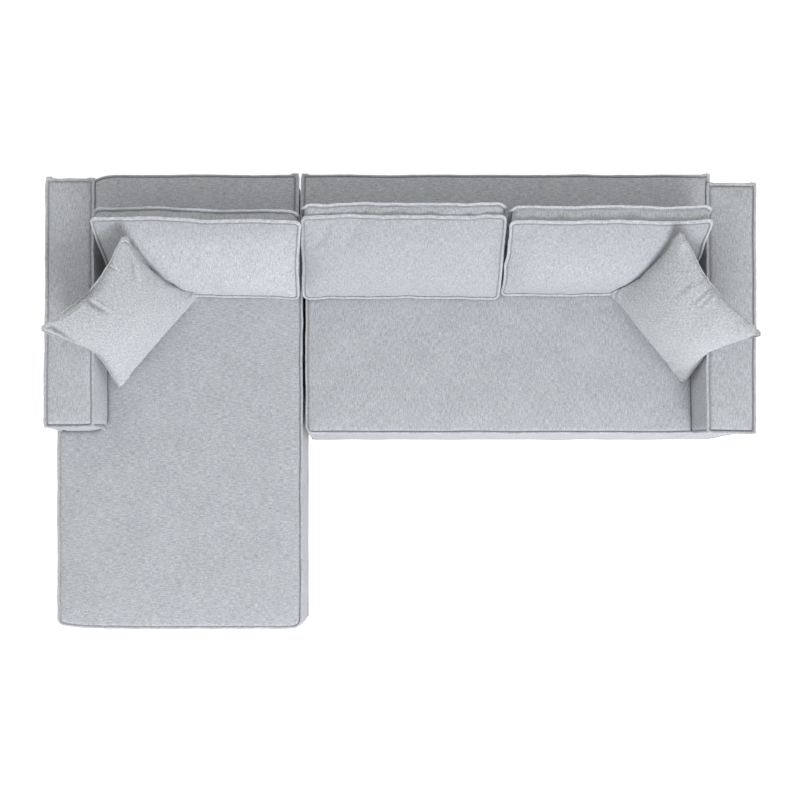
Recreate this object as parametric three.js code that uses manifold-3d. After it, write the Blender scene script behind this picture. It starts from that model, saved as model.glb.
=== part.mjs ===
// Sectional sofa: a chaise module with a left arm and a two-seat module with a right arm.
// Each module is a box of timber rails with zigzag springs and an upholstered seat, and its arm
// and back are padded slabs on timber frames, bolted to the rails. Three loose back cushions and
// two loose throw pillows rest on it. Millimetres, +Z up, +X to the right arm, front towards -Y.
// The origin is on the floor at the middle of the whole outline.

import * as THREE from 'three';
import { mergeVertices } from 'three/addons/utils/BufferGeometryUtils.js';
import Module from 'manifold-3d';

const wasm = await Module();
wasm.setup();

// Outline of the two modules
const totalWidth = 2800;
const chaiseLength = 1800;
const chaiseWidth = 996;
const sofaDepth = 1000;
const moduleGap = 16;

// Gap left between solids that touch on the real sofa, and how far a cut runs past its solid
const fitGap = 0.3;
const overrun = 10;

// Arms
const armWidth = 190;
const armLength = 970;
const armHeight = 650;
const chaiseArmInset = 17;
const sofaArmInset = 34;

// Backs
const backThickness = 190;
const backHeight = 645;

// Seats
const seatHeight = 440;
const seatCrown = 9;
const seatCrownRoll = 150;
const slabCrown = 5;
const slabCrownRoll = 70;

// Base: feet, dust cover, rails, outer panels
const footHeight = 45;
const footTopRadius = 28;
const footBottomRadius = 23;
const footInset = 70;
const dustCoverThickness = 1.5;
const railHeight = 150;
const railThickness = 25;
const middleRailHeight = 110;
const panelThickness = 12;
const panelTopDrop = 6;

// Timber frames inside the arms and backs
const sillHeight = 60;
const webThickness = 25;
const webTopDrop = 60;

// Zigzag springs
const wireThickness = 4;
const springPitch = 130;
const springAmplitude = 24;
const springHalfWave = 56;
const springEndInset = 40;
const tieWireThickness = 3;

// Bolts
const boltShankRadius = 4;
const boltHeadRadius = 8;
const boltHeadHeight = 5;
const boltReach = 40;
const boltInset = 130;

// Connector: a tongue under one module slides into a sleeve under the other
const sleeveLength = 60;
const sleeveWall = 3;
const tongueWidth = 38;
const tongueThickness = 5;
const tongueReach = 35;
const tongueRoot = 50;
const tonguePlay = 0.4;
const frontConnectorInset = 220;
const rearConnectorInset = 70;

// Back cushions: three in a row between the arms
const cushionGap = 7;
const cushionToLeftArm = 33;
const cushionToRightArm = 21;
const cushionHeight = 410;
const cushionBand = 90;
const cushionFrontCrown = 40;
const cushionRearCrown = 42;
const cushionSideDraw = 12;
const cushionTopDraw = 8;
const cushionBandSwell = 6;
const cushionFromRear = 364;
const cushionLean = THREE.MathUtils.degToRad(30);
const leftCushionYaw = THREE.MathUtils.degToRad(-1.2);
const middleCushionYaw = 0;
const rightCushionYaw = THREE.MathUtils.degToRad(0.4);

// Throw pillows
const pillowSize = 480;
const pillowFullness = 72;
const pillowSeam = 3;
const pillowDraw = 26;
const pillowTurn = THREE.MathUtils.degToRad(50);
const leftPillowLean = THREE.MathUtils.degToRad(30);
const rightPillowLean = THREE.MathUtils.degToRad(25);
const leftPillowFromArm = 212;
const leftPillowFromRear = 626;
const rightPillowFromArm = 200;
const rightPillowFromRear = 612;

// How the loose pieces settle against what carries them
const restGap = 0.4;
const leanRound = 26;
const leanGap = 14;
const pillowGap = 2.5;
const settleRounds = 14;
const settleBlendShare = 0.5;

// Shares: the fall of a crown towards the edges of a loose piece
const crownPowerShare = 0.62;

// Facet counts
const cushionColumns = 14;
const cushionRows = 9;
const pillowCells = 16;
const boltSides = 12;
const footSides = 16;
const slabCells = 4;
const tieSpans = 3;
const slabLongCells = 10;
const rollCells = 3;

// Planes worked out from the driving dimensions
const leftX = -totalWidth / 2;
const rightX = totalWidth / 2;
const rearY = chaiseLength / 2;
const chaiseFrontY = -chaiseLength / 2;
const sofaFrontY = rearY - sofaDepth;
const chaiseRightX = leftX + chaiseWidth;
const sofaLeftX = chaiseRightX + moduleGap;
const leftArmInnerX = leftX + armWidth;
const rightArmInnerX = rightX - armWidth;
const backFrontY = rearY - backThickness;
const chaiseArmRearY = rearY - chaiseArmInset;
const chaiseArmFrontY = chaiseArmRearY - armLength;
const sofaArmRearY = rearY - sofaArmInset;
const sofaArmFrontY = sofaArmRearY - armLength;
const slabBottomZ = footHeight + fitGap;
const railBottomZ = slabBottomZ + dustCoverThickness + fitGap;
const railTopZ = railBottomZ + railHeight;
const springBottomZ = railTopZ + fitGap;
const padBottomZ = springBottomZ + wireThickness + fitGap;
const panelTopZ = seatHeight - panelTopDrop;
const boltZ = slabBottomZ + sillHeight / 2;
const tongueTopZ = footHeight - sleeveWall - tonguePlay;
const cushionRow = rightArmInnerX - leftArmInnerX - cushionToLeftArm - cushionToRightArm;
const cushionWidth = (cushionRow - 2 * cushionGap) / 3;
const leftCushionX = leftArmInnerX + cushionToLeftArm + cushionWidth / 2;
const middleCushionX = leftCushionX + cushionWidth + cushionGap;
const rightCushionX = middleCushionX + cushionWidth + cushionGap;

// Materials
const fabric = new THREE.MeshStandardMaterial({ color: 0xc9cbcc, roughness: 0.95, metalness: 0 });
const timber = new THREE.MeshStandardMaterial({ color: 0xb98a58, roughness: 0.7, metalness: 0 });
const steel = new THREE.MeshStandardMaterial({ color: 0x8f9398, roughness: 0.4, metalness: 1 });
const plastic = new THREE.MeshStandardMaterial({ color: 0x1c1c1e, roughness: 0.6, metalness: 0 });
const lining = new THREE.MeshStandardMaterial({ color: 0x26272a, roughness: 0.9, metalness: 0 });

const sofa = new THREE.Group();
sofa.name = 'sectional_sofa';
const chaiseModule = new THREE.Group();
const sofaModule = new THREE.Group();
sofa.add(chaiseModule, sofaModule);

function add(group, name, geometry, material) {
  const mesh = new THREE.Mesh(geometry, material.clone());
  mesh.name = name;
  group.add(mesh);
  return mesh;
}

function boxBetween(low, high) {
  const size = high.map((value, axis) => value - low[axis]);
  const middle = high.map((value, axis) => (value + low[axis]) / 2);
  return new THREE.BoxGeometry(...size).translate(...middle);
}

// Booleans
function solidOf(geometry) {
  const bare = geometry.index ? geometry.clone() : mergeVertices(geometry);
  bare.deleteAttribute('normal');
  bare.deleteAttribute('uv');
  const merged = mergeVertices(bare);
  return new wasm.Manifold(new wasm.Mesh({
    numProp: 3,
    vertProperties: new Float32Array(merged.attributes.position.array),
    triVerts: new Uint32Array(merged.index.array),
  }));
}

function geometryOf(solid) {
  const mesh = solid.getMesh();
  const geometry = new THREE.BufferGeometry();
  geometry.setAttribute('position', new THREE.BufferAttribute(new Float32Array(mesh.vertProperties), 3));
  geometry.setIndex(new THREE.BufferAttribute(new Uint32Array(mesh.triVerts), 1));
  geometry.computeVertexNormals();
  return geometry;
}

function cut(geometry, tools) {
  return geometryOf(tools.reduce((solid, tool) => solid.subtract(solidOf(tool)), solidOf(geometry)));
}

function join(geometries) {
  const [first, ...others] = geometries.map(solidOf);
  return geometryOf(others.reduce((solid, other) => solid.add(other), first));
}

// A straight run of grid lines
function steps(from, to, count) {
  return Array.from({ length: count + 1 }, (_, index) => from + (to - from) * index / count);
}

// A closed upholstered block over the grid cells that keeps(x, y) accepts at their middles
function paddedBlock(xs, ys, keeps, bottomZ, topAt) {
  const points = [];
  const faces = [];
  const known = new Map();
  const corner = (i, j, onTop) => {
    const key = `${i} ${j} ${onTop}`;
    if (!known.has(key)) {
      known.set(key, points.length / 3);
      points.push(xs[i], ys[j], onTop ? topAt(xs[i], ys[j]) : bottomZ);
    }
    return known.get(key);
  };
  const kept = (i, j) => i >= 0 && j >= 0 && i < xs.length - 1 && j < ys.length - 1
    && keeps((xs[i] + xs[i + 1]) / 2, (ys[j] + ys[j + 1]) / 2);
  const quad = (a, b, c, d) => faces.push(a, b, c, a, c, d);
  const wall = (i, j, k, l) => quad(corner(i, j, false), corner(k, l, false), corner(k, l, true), corner(i, j, true));
  for (let i = 0; i < xs.length - 1; i += 1) {
    for (let j = 0; j < ys.length - 1; j += 1) {
      if (!kept(i, j)) continue;
      quad(corner(i, j, true), corner(i + 1, j, true), corner(i + 1, j + 1, true), corner(i, j + 1, true));
      quad(corner(i, j, false), corner(i, j + 1, false), corner(i + 1, j + 1, false), corner(i + 1, j, false));
      if (!kept(i, j - 1)) wall(i, j, i + 1, j);
      if (!kept(i + 1, j)) wall(i + 1, j, i + 1, j + 1);
      if (!kept(i, j + 1)) wall(i + 1, j + 1, i, j + 1);
      if (!kept(i - 1, j)) wall(i, j + 1, i, j);
    }
  }
  const geometry = new THREE.BufferGeometry();
  geometry.setAttribute('position', new THREE.BufferAttribute(new Float32Array(points), 3));
  geometry.setIndex(faces);
  geometry.computeVertexNormals();
  return geometry;
}

// How far a point of the plan lies inside a rectangle
function insideBy(rectangle, x, y) {
  return Math.min(x - rectangle.x0, rectangle.x1 - x, y - rectangle.y0, rectangle.y1 - y);
}

// Rise of a padded top: nothing at its edge, the full crown once past the roll
function crownRise(inside, crown, roll) {
  const fall = 1 - THREE.MathUtils.clamp(inside / roll, 0, 1);
  return crown * (1 - fall * fall);
}

// Seats
const chaiseSeatPlan = { x0: leftArmInnerX + fitGap, x1: chaiseRightX, y0: chaiseFrontY, y1: backFrontY - fitGap };
const chaiseWingPlan = { x0: leftX, x1: chaiseRightX, y0: chaiseFrontY, y1: chaiseArmFrontY - fitGap };
const sofaSeatPlan = { x0: sofaLeftX, x1: rightArmInnerX - fitGap, y0: sofaFrontY, y1: backFrontY - fitGap };

function chaiseSeatTop(x, y) {
  const inside = Math.max(insideBy(chaiseSeatPlan, x, y), insideBy(chaiseWingPlan, x, y));
  return seatHeight + crownRise(inside, seatCrown, seatCrownRoll);
}

function sofaSeatTop(x, y) {
  return seatHeight + crownRise(insideBy(sofaSeatPlan, x, y), seatCrown, seatCrownRoll);
}

const panelDepth = panelThickness + fitGap;

// Grid lines across the roll that rises from an edge, in the order of growing coordinates
function rollLines(edge, inward) {
  const lines = steps(edge, edge + inward * seatCrownRoll, rollCells).slice(1);
  return inward > 0 ? lines : lines.reverse();
}

function makeChaiseSeat() {
  const xs = [
    leftX + panelDepth,
    ...rollLines(leftX, 1),
    leftArmInnerX + fitGap,
    ...rollLines(leftArmInnerX + fitGap, 1),
    ...rollLines(chaiseRightX, -1),
    chaiseRightX - panelDepth,
  ];
  const ys = [
    chaiseFrontY + panelDepth,
    ...rollLines(chaiseFrontY, 1),
    ...rollLines(chaiseArmFrontY - fitGap, -1),
    chaiseArmFrontY - fitGap,
    ...rollLines(backFrontY - fitGap, -1),
    backFrontY - fitGap,
  ];
  const keeps = (x, y) => x > leftArmInnerX + fitGap || y < chaiseArmFrontY - fitGap;
  return paddedBlock(xs, ys, keeps, padBottomZ, chaiseSeatTop);
}

function makeSofaSeat() {
  const xs = [
    sofaLeftX + panelDepth,
    ...rollLines(sofaLeftX, 1),
    (sofaLeftX + rightArmInnerX) / 2,
    ...rollLines(rightArmInnerX - fitGap, -1),
    rightArmInnerX - fitGap,
  ];
  const ys = [
    sofaFrontY + panelDepth,
    ...rollLines(sofaFrontY, 1),
    ...rollLines(backFrontY - fitGap, -1),
    backFrontY - fitGap,
  ];
  return paddedBlock(xs, ys, () => true, padBottomZ, sofaSeatTop);
}

add(chaiseModule, 'chaise_seat_pad', makeChaiseSeat(), fabric);
add(sofaModule, 'sofa_seat_pad', makeSofaSeat(), fabric);

// Bolts: a head, and a shank that runs along the chosen direction
function boltShape(grow, length) {
  const profile = [
    [0, -grow],
    [boltHeadRadius + grow, -grow],
    [boltHeadRadius + grow, boltHeadHeight + grow],
    [boltShankRadius + grow, boltHeadHeight + grow],
    [boltShankRadius + grow, length + grow],
    [0, length + grow],
  ].map(([radius, along]) => new THREE.Vector2(radius, along));
  return new THREE.LatheGeometry(profile, boltSides);
}

function boltAt(grow, start, direction, length) {
  const turn = new THREE.Quaternion().setFromUnitVectors(new THREE.Vector3(0, 1, 0), direction);
  return boltShape(grow, length).applyQuaternion(turn).translate(...start);
}

// Length from under a bolt's head seat to its tip: rail, cover and reach into the sill
const boltLength = boltHeadHeight + fitGap + railThickness + fitGap + panelThickness + fitGap + boltReach;

// Padded slabs on timber frames. A slab's plan is a rectangle, and its frame is a sill with a web
function makeSlab(plan, height, alongX, bolts) {
  const midX = (plan.x0 + plan.x1) / 2;
  const midY = (plan.y0 + plan.y1) / 2;
  const frameParts = (grow) => {
    const inset = panelThickness + fitGap - grow;
    const web = webThickness / 2 + grow;
    const sillTop = slabBottomZ + sillHeight + grow;
    const webTop = height - webTopDrop + grow;
    const bottom = grow > 0 ? slabBottomZ - overrun : slabBottomZ;
    const sill = boxBetween([plan.x0 + inset, plan.y0 + inset, bottom], [plan.x1 - inset, plan.y1 - inset, sillTop]);
    const low = alongX ? [plan.x0 + inset, midY - web, bottom] : [midX - web, plan.y0 + inset, bottom];
    const high = alongX ? [plan.x1 - inset, midY + web, webTop] : [midX + web, plan.y1 - inset, webTop];
    return [sill, boxBetween(low, high)];
  };
  const xs = steps(plan.x0, plan.x1, alongX ? slabLongCells : slabCells);
  const ys = steps(plan.y0, plan.y1, alongX ? slabCells : slabLongCells);
  const topAt = (x, y) => height + crownRise(insideBy(plan, x, y), slabCrown, slabCrownRoll);
  const block = paddedBlock(xs, ys, () => true, slabBottomZ, topAt);
  const holes = bolts.map((bolt) => boltAt(fitGap, bolt.start, bolt.direction, boltLength));
  return {
    frame: cut(join(frameParts(0)), holes),
    pad: cut(block, [...frameParts(fitGap), ...holes]),
    holes,
  };
}

// Bolts of a slab start at the inner side of the rail that it is bolted to
const railFaceDepth = fitGap + railThickness + fitGap + boltHeadHeight;

function slabBolts(ends, direction) {
  return ends.map(([x, y]) => ({
    start: [x - direction.x * railFaceDepth, y - direction.y * railFaceDepth, boltZ],
    direction,
  }));
}

const toLeft = new THREE.Vector3(-1, 0, 0);
const toRight = new THREE.Vector3(1, 0, 0);
const toRear = new THREE.Vector3(0, 1, 0);

const chaiseArmPlan = { x0: leftX, x1: leftArmInnerX, y0: chaiseArmFrontY, y1: chaiseArmRearY };
const sofaArmPlan = { x0: rightArmInnerX, x1: rightX, y0: sofaArmFrontY, y1: sofaArmRearY };
const chaiseBackPlan = { x0: leftArmInnerX + fitGap, x1: chaiseRightX, y0: backFrontY, y1: rearY };
const sofaBackPlan = { x0: sofaLeftX, x1: rightArmInnerX - fitGap, y0: backFrontY, y1: rearY };

const chaiseArmBolts = slabBolts([
  [leftArmInnerX, chaiseArmFrontY + boltInset],
  [leftArmInnerX, backFrontY - boltInset],
], toLeft);
const sofaArmBolts = slabBolts([
  [rightArmInnerX, sofaArmFrontY + boltInset],
  [rightArmInnerX, backFrontY - boltInset],
], toRight);
const chaiseBackBolts = slabBolts([
  [leftArmInnerX + boltInset, backFrontY],
  [chaiseRightX - boltInset, backFrontY],
], toRear);
const sofaBackBolts = slabBolts([
  [sofaLeftX + boltInset, backFrontY],
  [rightArmInnerX - boltInset, backFrontY],
], toRear);

function addSlab(group, prefix, plan, height, alongX, bolts, ends) {
  const slab = makeSlab(plan, height, alongX, bolts);
  add(group, `${prefix}_pad`, slab.pad, fabric);
  add(group, `${prefix}_frame`, slab.frame, timber);
  bolts.forEach((bolt, index) => {
    add(group, `${prefix}_bolt_${ends[index]}`, boltAt(0, bolt.start, bolt.direction, boltLength), steel);
  });
  return slab.holes;
}

const chaiseArmHoles = addSlab(chaiseModule, 'left_arm', chaiseArmPlan, armHeight, false, chaiseArmBolts, ['front', 'rear']);
const sofaArmHoles = addSlab(sofaModule, 'right_arm', sofaArmPlan, armHeight, false, sofaArmBolts, ['front', 'rear']);
const chaiseBackHoles = addSlab(chaiseModule, 'chaise_back', chaiseBackPlan, backHeight, true, chaiseBackBolts, ['left', 'right']);
const sofaBackHoles = addSlab(sofaModule, 'sofa_back', sofaBackPlan, backHeight, true, sofaBackBolts, ['left', 'right']);

// Rails of the seat boxes. Each rail is a board on edge
function rail(group, name, x0, x1, y0, y1, height, holes = []) {
  const board = boxBetween([x0, y0, railBottomZ], [x1, y1, railBottomZ + height]);
  add(group, name, holes.length > 0 ? cut(board, holes) : board, timber);
}

// Inner and outer planes of the boards, from the outside in
const railDepth = railThickness + fitGap;
const chaiseFrontRailY = chaiseFrontY + panelDepth;
const chaiseRearRailY = backFrontY - fitGap;
const chaiseRightRailX = chaiseRightX - panelDepth;
const chaiseLeftRailX = leftArmInnerX + fitGap;
const wingLeftRailX = leftX + panelDepth;
const wingRearRailY = chaiseArmFrontY - fitGap;
const chaiseMiddleY = (chaiseFrontRailY + chaiseRearRailY) / 2;

rail(chaiseModule, 'chaise_front_rail', wingLeftRailX, chaiseRightRailX,
  chaiseFrontRailY, chaiseFrontRailY + railThickness, railHeight);
rail(chaiseModule, 'chaise_rear_rail', chaiseLeftRailX, chaiseRightRailX,
  chaiseRearRailY - railThickness, chaiseRearRailY, railHeight, chaiseBackHoles);
rail(chaiseModule, 'chaise_left_rail', chaiseLeftRailX, chaiseLeftRailX + railThickness,
  chaiseFrontRailY + railDepth, chaiseRearRailY - railDepth, railHeight, chaiseArmHoles);
rail(chaiseModule, 'chaise_right_rail', chaiseRightRailX - railThickness, chaiseRightRailX,
  chaiseFrontRailY + railDepth, chaiseRearRailY - railDepth, railHeight);
rail(chaiseModule, 'chaise_middle_rail', chaiseLeftRailX + railDepth, chaiseRightRailX - railDepth,
  chaiseMiddleY - railThickness / 2, chaiseMiddleY + railThickness / 2, middleRailHeight);
rail(chaiseModule, 'chaise_wing_side_rail', wingLeftRailX, wingLeftRailX + railThickness,
  chaiseFrontRailY + railDepth, wingRearRailY - railDepth, railHeight);
rail(chaiseModule, 'chaise_wing_rear_rail', wingLeftRailX, chaiseLeftRailX - fitGap,
  wingRearRailY - railThickness, wingRearRailY, railHeight);

const sofaFrontRailY = sofaFrontY + panelDepth;
const sofaRearRailY = backFrontY - fitGap;
const sofaLeftRailX = sofaLeftX + panelDepth;
const sofaRightRailX = rightArmInnerX - fitGap;
const sofaMiddleX = (sofaLeftRailX + sofaRightRailX) / 2;

rail(sofaModule, 'sofa_front_rail', sofaLeftRailX, sofaRightRailX,
  sofaFrontRailY, sofaFrontRailY + railThickness, railHeight);
rail(sofaModule, 'sofa_rear_rail', sofaLeftRailX, sofaRightRailX,
  sofaRearRailY - railThickness, sofaRearRailY, railHeight, sofaBackHoles);
rail(sofaModule, 'sofa_left_rail', sofaLeftRailX, sofaLeftRailX + railThickness,
  sofaFrontRailY + railDepth, sofaRearRailY - railDepth, railHeight);
rail(sofaModule, 'sofa_right_rail', sofaRightRailX - railThickness, sofaRightRailX,
  sofaFrontRailY + railDepth, sofaRearRailY - railDepth, railHeight, sofaArmHoles);
rail(sofaModule, 'sofa_middle_rail', sofaMiddleX - railThickness / 2, sofaMiddleX + railThickness / 2,
  sofaFrontRailY + railDepth, sofaRearRailY - railDepth, middleRailHeight);

// Zigzag springs, laid from rail to rail and tied to each other by wires across them
function zigzag(length) {
  const halfWaves = 2 * Math.round((length - 2 * springEndInset) / springHalfWave / 2);
  const stride = (length - 2 * springEndInset) / halfWaves;
  const slant = Math.hypot(stride, 2 * springAmplitude) / stride;
  const middleLine = [[0, 0], [springEndInset, 0]];
  for (let turn = 0; turn < halfWaves; turn += 1) {
    middleLine.push([springEndInset + stride * (turn + 1 / 2), turn % 2 ? -springAmplitude : springAmplitude]);
  }
  middleLine.push([length - springEndInset, 0], [length, 0]);
  const half = wireThickness / 2 * slant;
  const outline = [
    ...middleLine.map(([x, y]) => new THREE.Vector2(x, y - half)),
    ...middleLine.reverse().map(([x, y]) => new THREE.Vector2(x, y + half)),
  ];
  return new THREE.ExtrudeGeometry(new THREE.Shape(outline), { depth: wireThickness, bevelEnabled: false });
}

function springSet(x0, x1, y0, y1, alongX) {
  const [from, to] = alongX ? [x0, x1] : [y0, y1];
  const [first, last] = alongX ? [y0, y1] : [x0, x1];
  const count = Math.round((last - first) / springPitch) - 1;
  const places = steps(first, last, count + 1).slice(1, -1);
  const springs = places.map((place) => {
    const spring = zigzag(to - from);
    if (!alongX) spring.rotateZ(Math.PI / 2);
    return alongX ? spring.translate(from, place, springBottomZ) : spring.translate(place, from, springBottomZ);
  });
  const ties = steps(from, to, tieSpans).slice(1, -1).map((place) => {
    const low = place - tieWireThickness / 2;
    const high = place + tieWireThickness / 2;
    const start = places[0] - springAmplitude;
    const end = places[places.length - 1] + springAmplitude;
    const bottom = springBottomZ + (wireThickness - tieWireThickness) / 2;
    return alongX
      ? boxBetween([low, start, bottom], [high, end, bottom + tieWireThickness])
      : boxBetween([start, low, bottom], [end, high, bottom + tieWireThickness]);
  });
  return join([...ties, ...springs]);
}

add(chaiseModule, 'chaise_springs', springSet(
  chaiseLeftRailX + railThickness / 2, chaiseRightRailX - railThickness / 2,
  chaiseFrontRailY + railDepth, chaiseRearRailY - railDepth, true,
), steel);
add(sofaModule, 'sofa_springs', springSet(
  sofaLeftRailX + railDepth, sofaRightRailX - railDepth,
  sofaFrontRailY + railThickness / 2, sofaRearRailY - railThickness / 2, false,
), steel);

// Upholstered panels on the outer sides of the seat boxes
function panel(group, name, x0, x1, y0, y1) {
  add(group, name, boxBetween([x0, y0, railBottomZ], [x1, y1, panelTopZ]), fabric);
}

panel(chaiseModule, 'chaise_front_panel', leftX, chaiseRightX, chaiseFrontY, chaiseFrontY + panelThickness);
panel(chaiseModule, 'chaise_right_panel', chaiseRightX - panelThickness, chaiseRightX,
  chaiseFrontY + panelDepth, backFrontY - fitGap);
panel(chaiseModule, 'chaise_wing_panel', leftX, leftX + panelThickness,
  chaiseFrontY + panelDepth, chaiseArmFrontY - fitGap);
panel(sofaModule, 'sofa_front_panel', sofaLeftX, rightArmInnerX - fitGap, sofaFrontY, sofaFrontY + panelThickness);
panel(sofaModule, 'sofa_left_panel', sofaLeftX, sofaLeftX + panelThickness,
  sofaFrontY + panelDepth, backFrontY - fitGap);

// Dust covers, stapled under the seat boxes
function dustCover(outline) {
  const shape = new THREE.Shape(outline.map(([x, y]) => new THREE.Vector2(x, y)));
  const sheet = new THREE.ExtrudeGeometry(shape, { depth: dustCoverThickness, bevelEnabled: false });
  return sheet.translate(0, 0, slabBottomZ);
}

add(chaiseModule, 'chaise_dust_cover', dustCover([
  [leftX, chaiseFrontY],
  [chaiseRightX, chaiseFrontY],
  [chaiseRightX, chaiseRearRailY],
  [chaiseLeftRailX, chaiseRearRailY],
  [chaiseLeftRailX, wingRearRailY],
  [leftX, wingRearRailY],
]), lining);
add(sofaModule, 'sofa_dust_cover', dustCover([
  [sofaLeftX, sofaFrontY],
  [sofaRightRailX, sofaFrontY],
  [sofaRightRailX, sofaRearRailY],
  [sofaLeftX, sofaRearRailY],
]), lining);

// Feet
function foot(group, name, x, y) {
  const cone = new THREE.CylinderGeometry(footTopRadius, footBottomRadius, footHeight, footSides);
  add(group, name, cone.rotateX(Math.PI / 2).translate(x, y, footHeight / 2), plastic);
}

const wingFootX = leftX + footInset;
const chaiseRightFootX = chaiseRightX - footInset;
foot(chaiseModule, 'chaise_foot_front_left', wingFootX, chaiseFrontY + footInset);
foot(chaiseModule, 'chaise_foot_front_right', chaiseRightFootX, chaiseFrontY + footInset);
foot(chaiseModule, 'chaise_foot_middle_left', wingFootX, chaiseArmFrontY + footInset);
foot(chaiseModule, 'chaise_foot_middle_right', chaiseRightFootX, sofaFrontY + footInset);
foot(chaiseModule, 'chaise_foot_rear_left', wingFootX, chaiseArmRearY - footInset);
foot(chaiseModule, 'chaise_foot_rear_right', chaiseRightFootX, rearY - footInset);

const sofaLeftFootX = sofaLeftX + footInset;
const sofaRightFootX = rightX - footInset;
foot(sofaModule, 'sofa_foot_front_left', sofaLeftFootX, sofaFrontY + footInset);
foot(sofaModule, 'sofa_foot_front_middle', sofaMiddleX, sofaFrontY + footInset);
foot(sofaModule, 'sofa_foot_front_right', sofaRightFootX, sofaArmFrontY + footInset);
foot(sofaModule, 'sofa_foot_rear_left', sofaLeftFootX, rearY - footInset);
foot(sofaModule, 'sofa_foot_rear_middle', sofaMiddleX, rearY - footInset);
foot(sofaModule, 'sofa_foot_rear_right', sofaRightFootX, sofaArmRearY - footInset);

// Connectors between the modules
const sleeveHalf = tongueWidth / 2 + tonguePlay;
const sleeveHeight = tongueThickness + 2 * tonguePlay + 2 * sleeveWall;

function sleeve(y) {
  const low = [chaiseRightRailX - sleeveLength, y - sleeveHalf - sleeveWall, footHeight - sleeveHeight];
  const high = [chaiseRightRailX, y + sleeveHalf + sleeveWall, footHeight];
  const boreLow = [low[0] - overrun, low[1] + sleeveWall, low[2] + sleeveWall];
  const boreHigh = [high[0] + overrun, high[1] - sleeveWall, high[2] - sleeveWall];
  return cut(boxBetween(low, high), [boxBetween(boreLow, boreHigh)]);
}

function tongue(y) {
  const tip = chaiseRightRailX - tongueReach;
  const bottom = tongueTopZ - tongueThickness;
  const profile = new THREE.Shape([
    new THREE.Vector2(tip, bottom),
    new THREE.Vector2(sofaLeftRailX + tongueRoot, bottom),
    new THREE.Vector2(sofaLeftRailX + tongueRoot, footHeight),
    new THREE.Vector2(sofaLeftRailX, footHeight),
    new THREE.Vector2(sofaLeftRailX, tongueTopZ),
    new THREE.Vector2(tip, tongueTopZ),
  ]);
  const plate = new THREE.ExtrudeGeometry(profile, { depth: tongueWidth, bevelEnabled: false });
  return plate.rotateX(Math.PI / 2).translate(0, y + tongueWidth / 2, 0);
}

const connectorPlaces = { front: sofaFrontY + frontConnectorInset, rear: backFrontY - rearConnectorInset };
for (const [end, y] of Object.entries(connectorPlaces)) {
  add(chaiseModule, `connector_sleeve_${end}`, sleeve(y), steel);
  add(sofaModule, `connector_tongue_${end}`, tongue(y), steel);
}

// Loose pieces are shaped on a grid, placed, and then pressed clear of what they rest on. The
// diagonals of the cells run into the four corners, so that a knife-edged corner keeps its tip
function gridShell(columns, rows, pointAt, layers) {
  const points = [];
  const faces = [];
  const known = new Map();
  const vertex = (i, j, layer) => {
    const onRim = i === 0 || j === 0 || i === columns || j === rows;
    const shared = onRim && layers === 2 ? 0 : layer;
    const key = `${i} ${j} ${shared}`;
    if (!known.has(key)) {
      known.set(key, points.length);
      points.push(pointAt(2 * i / columns - 1, 2 * j / rows - 1, shared));
    }
    return known.get(key);
  };
  const quad = (a, b, c, d) => faces.push(a, b, c, a, c, d);
  const last = layers - 1;
  for (let i = 0; i < columns; i += 1) {
    for (let j = 0; j < rows; j += 1) {
      const cell = [[i, j], [i + 1, j], [i + 1, j + 1], [i, j + 1]];
      const sameHalf = (i < columns / 2) === (j < rows / 2);
      const ring = sameHalf ? cell : [...cell.slice(1), cell[0]];
      quad(...ring.map(([k, l]) => vertex(k, l, 0)));
      quad(...ring.map(([k, l]) => vertex(k, l, last)).reverse());
    }
  }
  const rim = [];
  for (let i = 0; i < columns; i += 1) rim.push([i, 0]);
  for (let j = 0; j < rows; j += 1) rim.push([columns, j]);
  for (let i = columns; i > 0; i -= 1) rim.push([i, rows]);
  for (let j = rows; j > 0; j -= 1) rim.push([0, j]);
  for (let layer = 0; layer < last && layers > 2; layer += 1) {
    rim.forEach(([i, j], index) => {
      const [k, l] = rim[(index + 1) % rim.length];
      quad(vertex(i, j, layer), vertex(i, j, layer + 1), vertex(k, l, layer + 1), vertex(k, l, layer));
    });
  }
  return { points, faces };
}

function swell(a, b) {
  return Math.pow((1 - a * a * a * a) * (1 - b * b), crownPowerShare);
}

// A boxed back cushion in its own frame: x across, y through it with the front at -y, z up its face
function cushionFaceY(a, b) {
  return -cushionBand - cushionFrontCrown * swell(a, b);
}

function cushionPoint(a, b, layer) {
  const swollen = layer === 1 ? cushionBandSwell : 0;
  const sideDraw = (cushionSideDraw - (Math.abs(a) === 1 ? swollen : 0)) * (1 - b * b);
  const topDraw = (cushionTopDraw - (Math.abs(b) === 1 ? swollen : 0)) * (1 - a * a);
  const x = a * (cushionWidth / 2 - sideDraw);
  const rise = b * (cushionHeight / 2 - topDraw);
  const depths = [cushionFaceY(a, b), -cushionBand / 2, cushionRearCrown * swell(a, b)];
  return new THREE.Vector3(x, depths[layer], cushionHeight / 2 + rise);
}

function cushionFrame(x, yaw) {
  const turn = new THREE.Quaternion().setFromEuler(new THREE.Euler(-cushionLean, 0, yaw, 'ZYX'));
  const foot = new THREE.Vector3(x, rearY - cushionFromRear, seatHeight + restGap);
  return new THREE.Matrix4().compose(foot, turn, new THREE.Vector3(1, 1, 1));
}

// A throw pillow in its own frame: x along its bottom edge, y through it with the front at -y
function pillowPoint(a, b, layer) {
  const x = a * (pillowSize / 2 - pillowDraw * (1 - b * b));
  const rise = b * (pillowSize / 2 - pillowDraw * (1 - a * a));
  const thick = pillowSeam / 2 + pillowFullness * Math.pow((1 - a * a) * (1 - b * b), crownPowerShare);
  return new THREE.Vector3(x, layer === 0 ? -thick : thick, pillowSize / 2 + rise);
}

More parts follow.
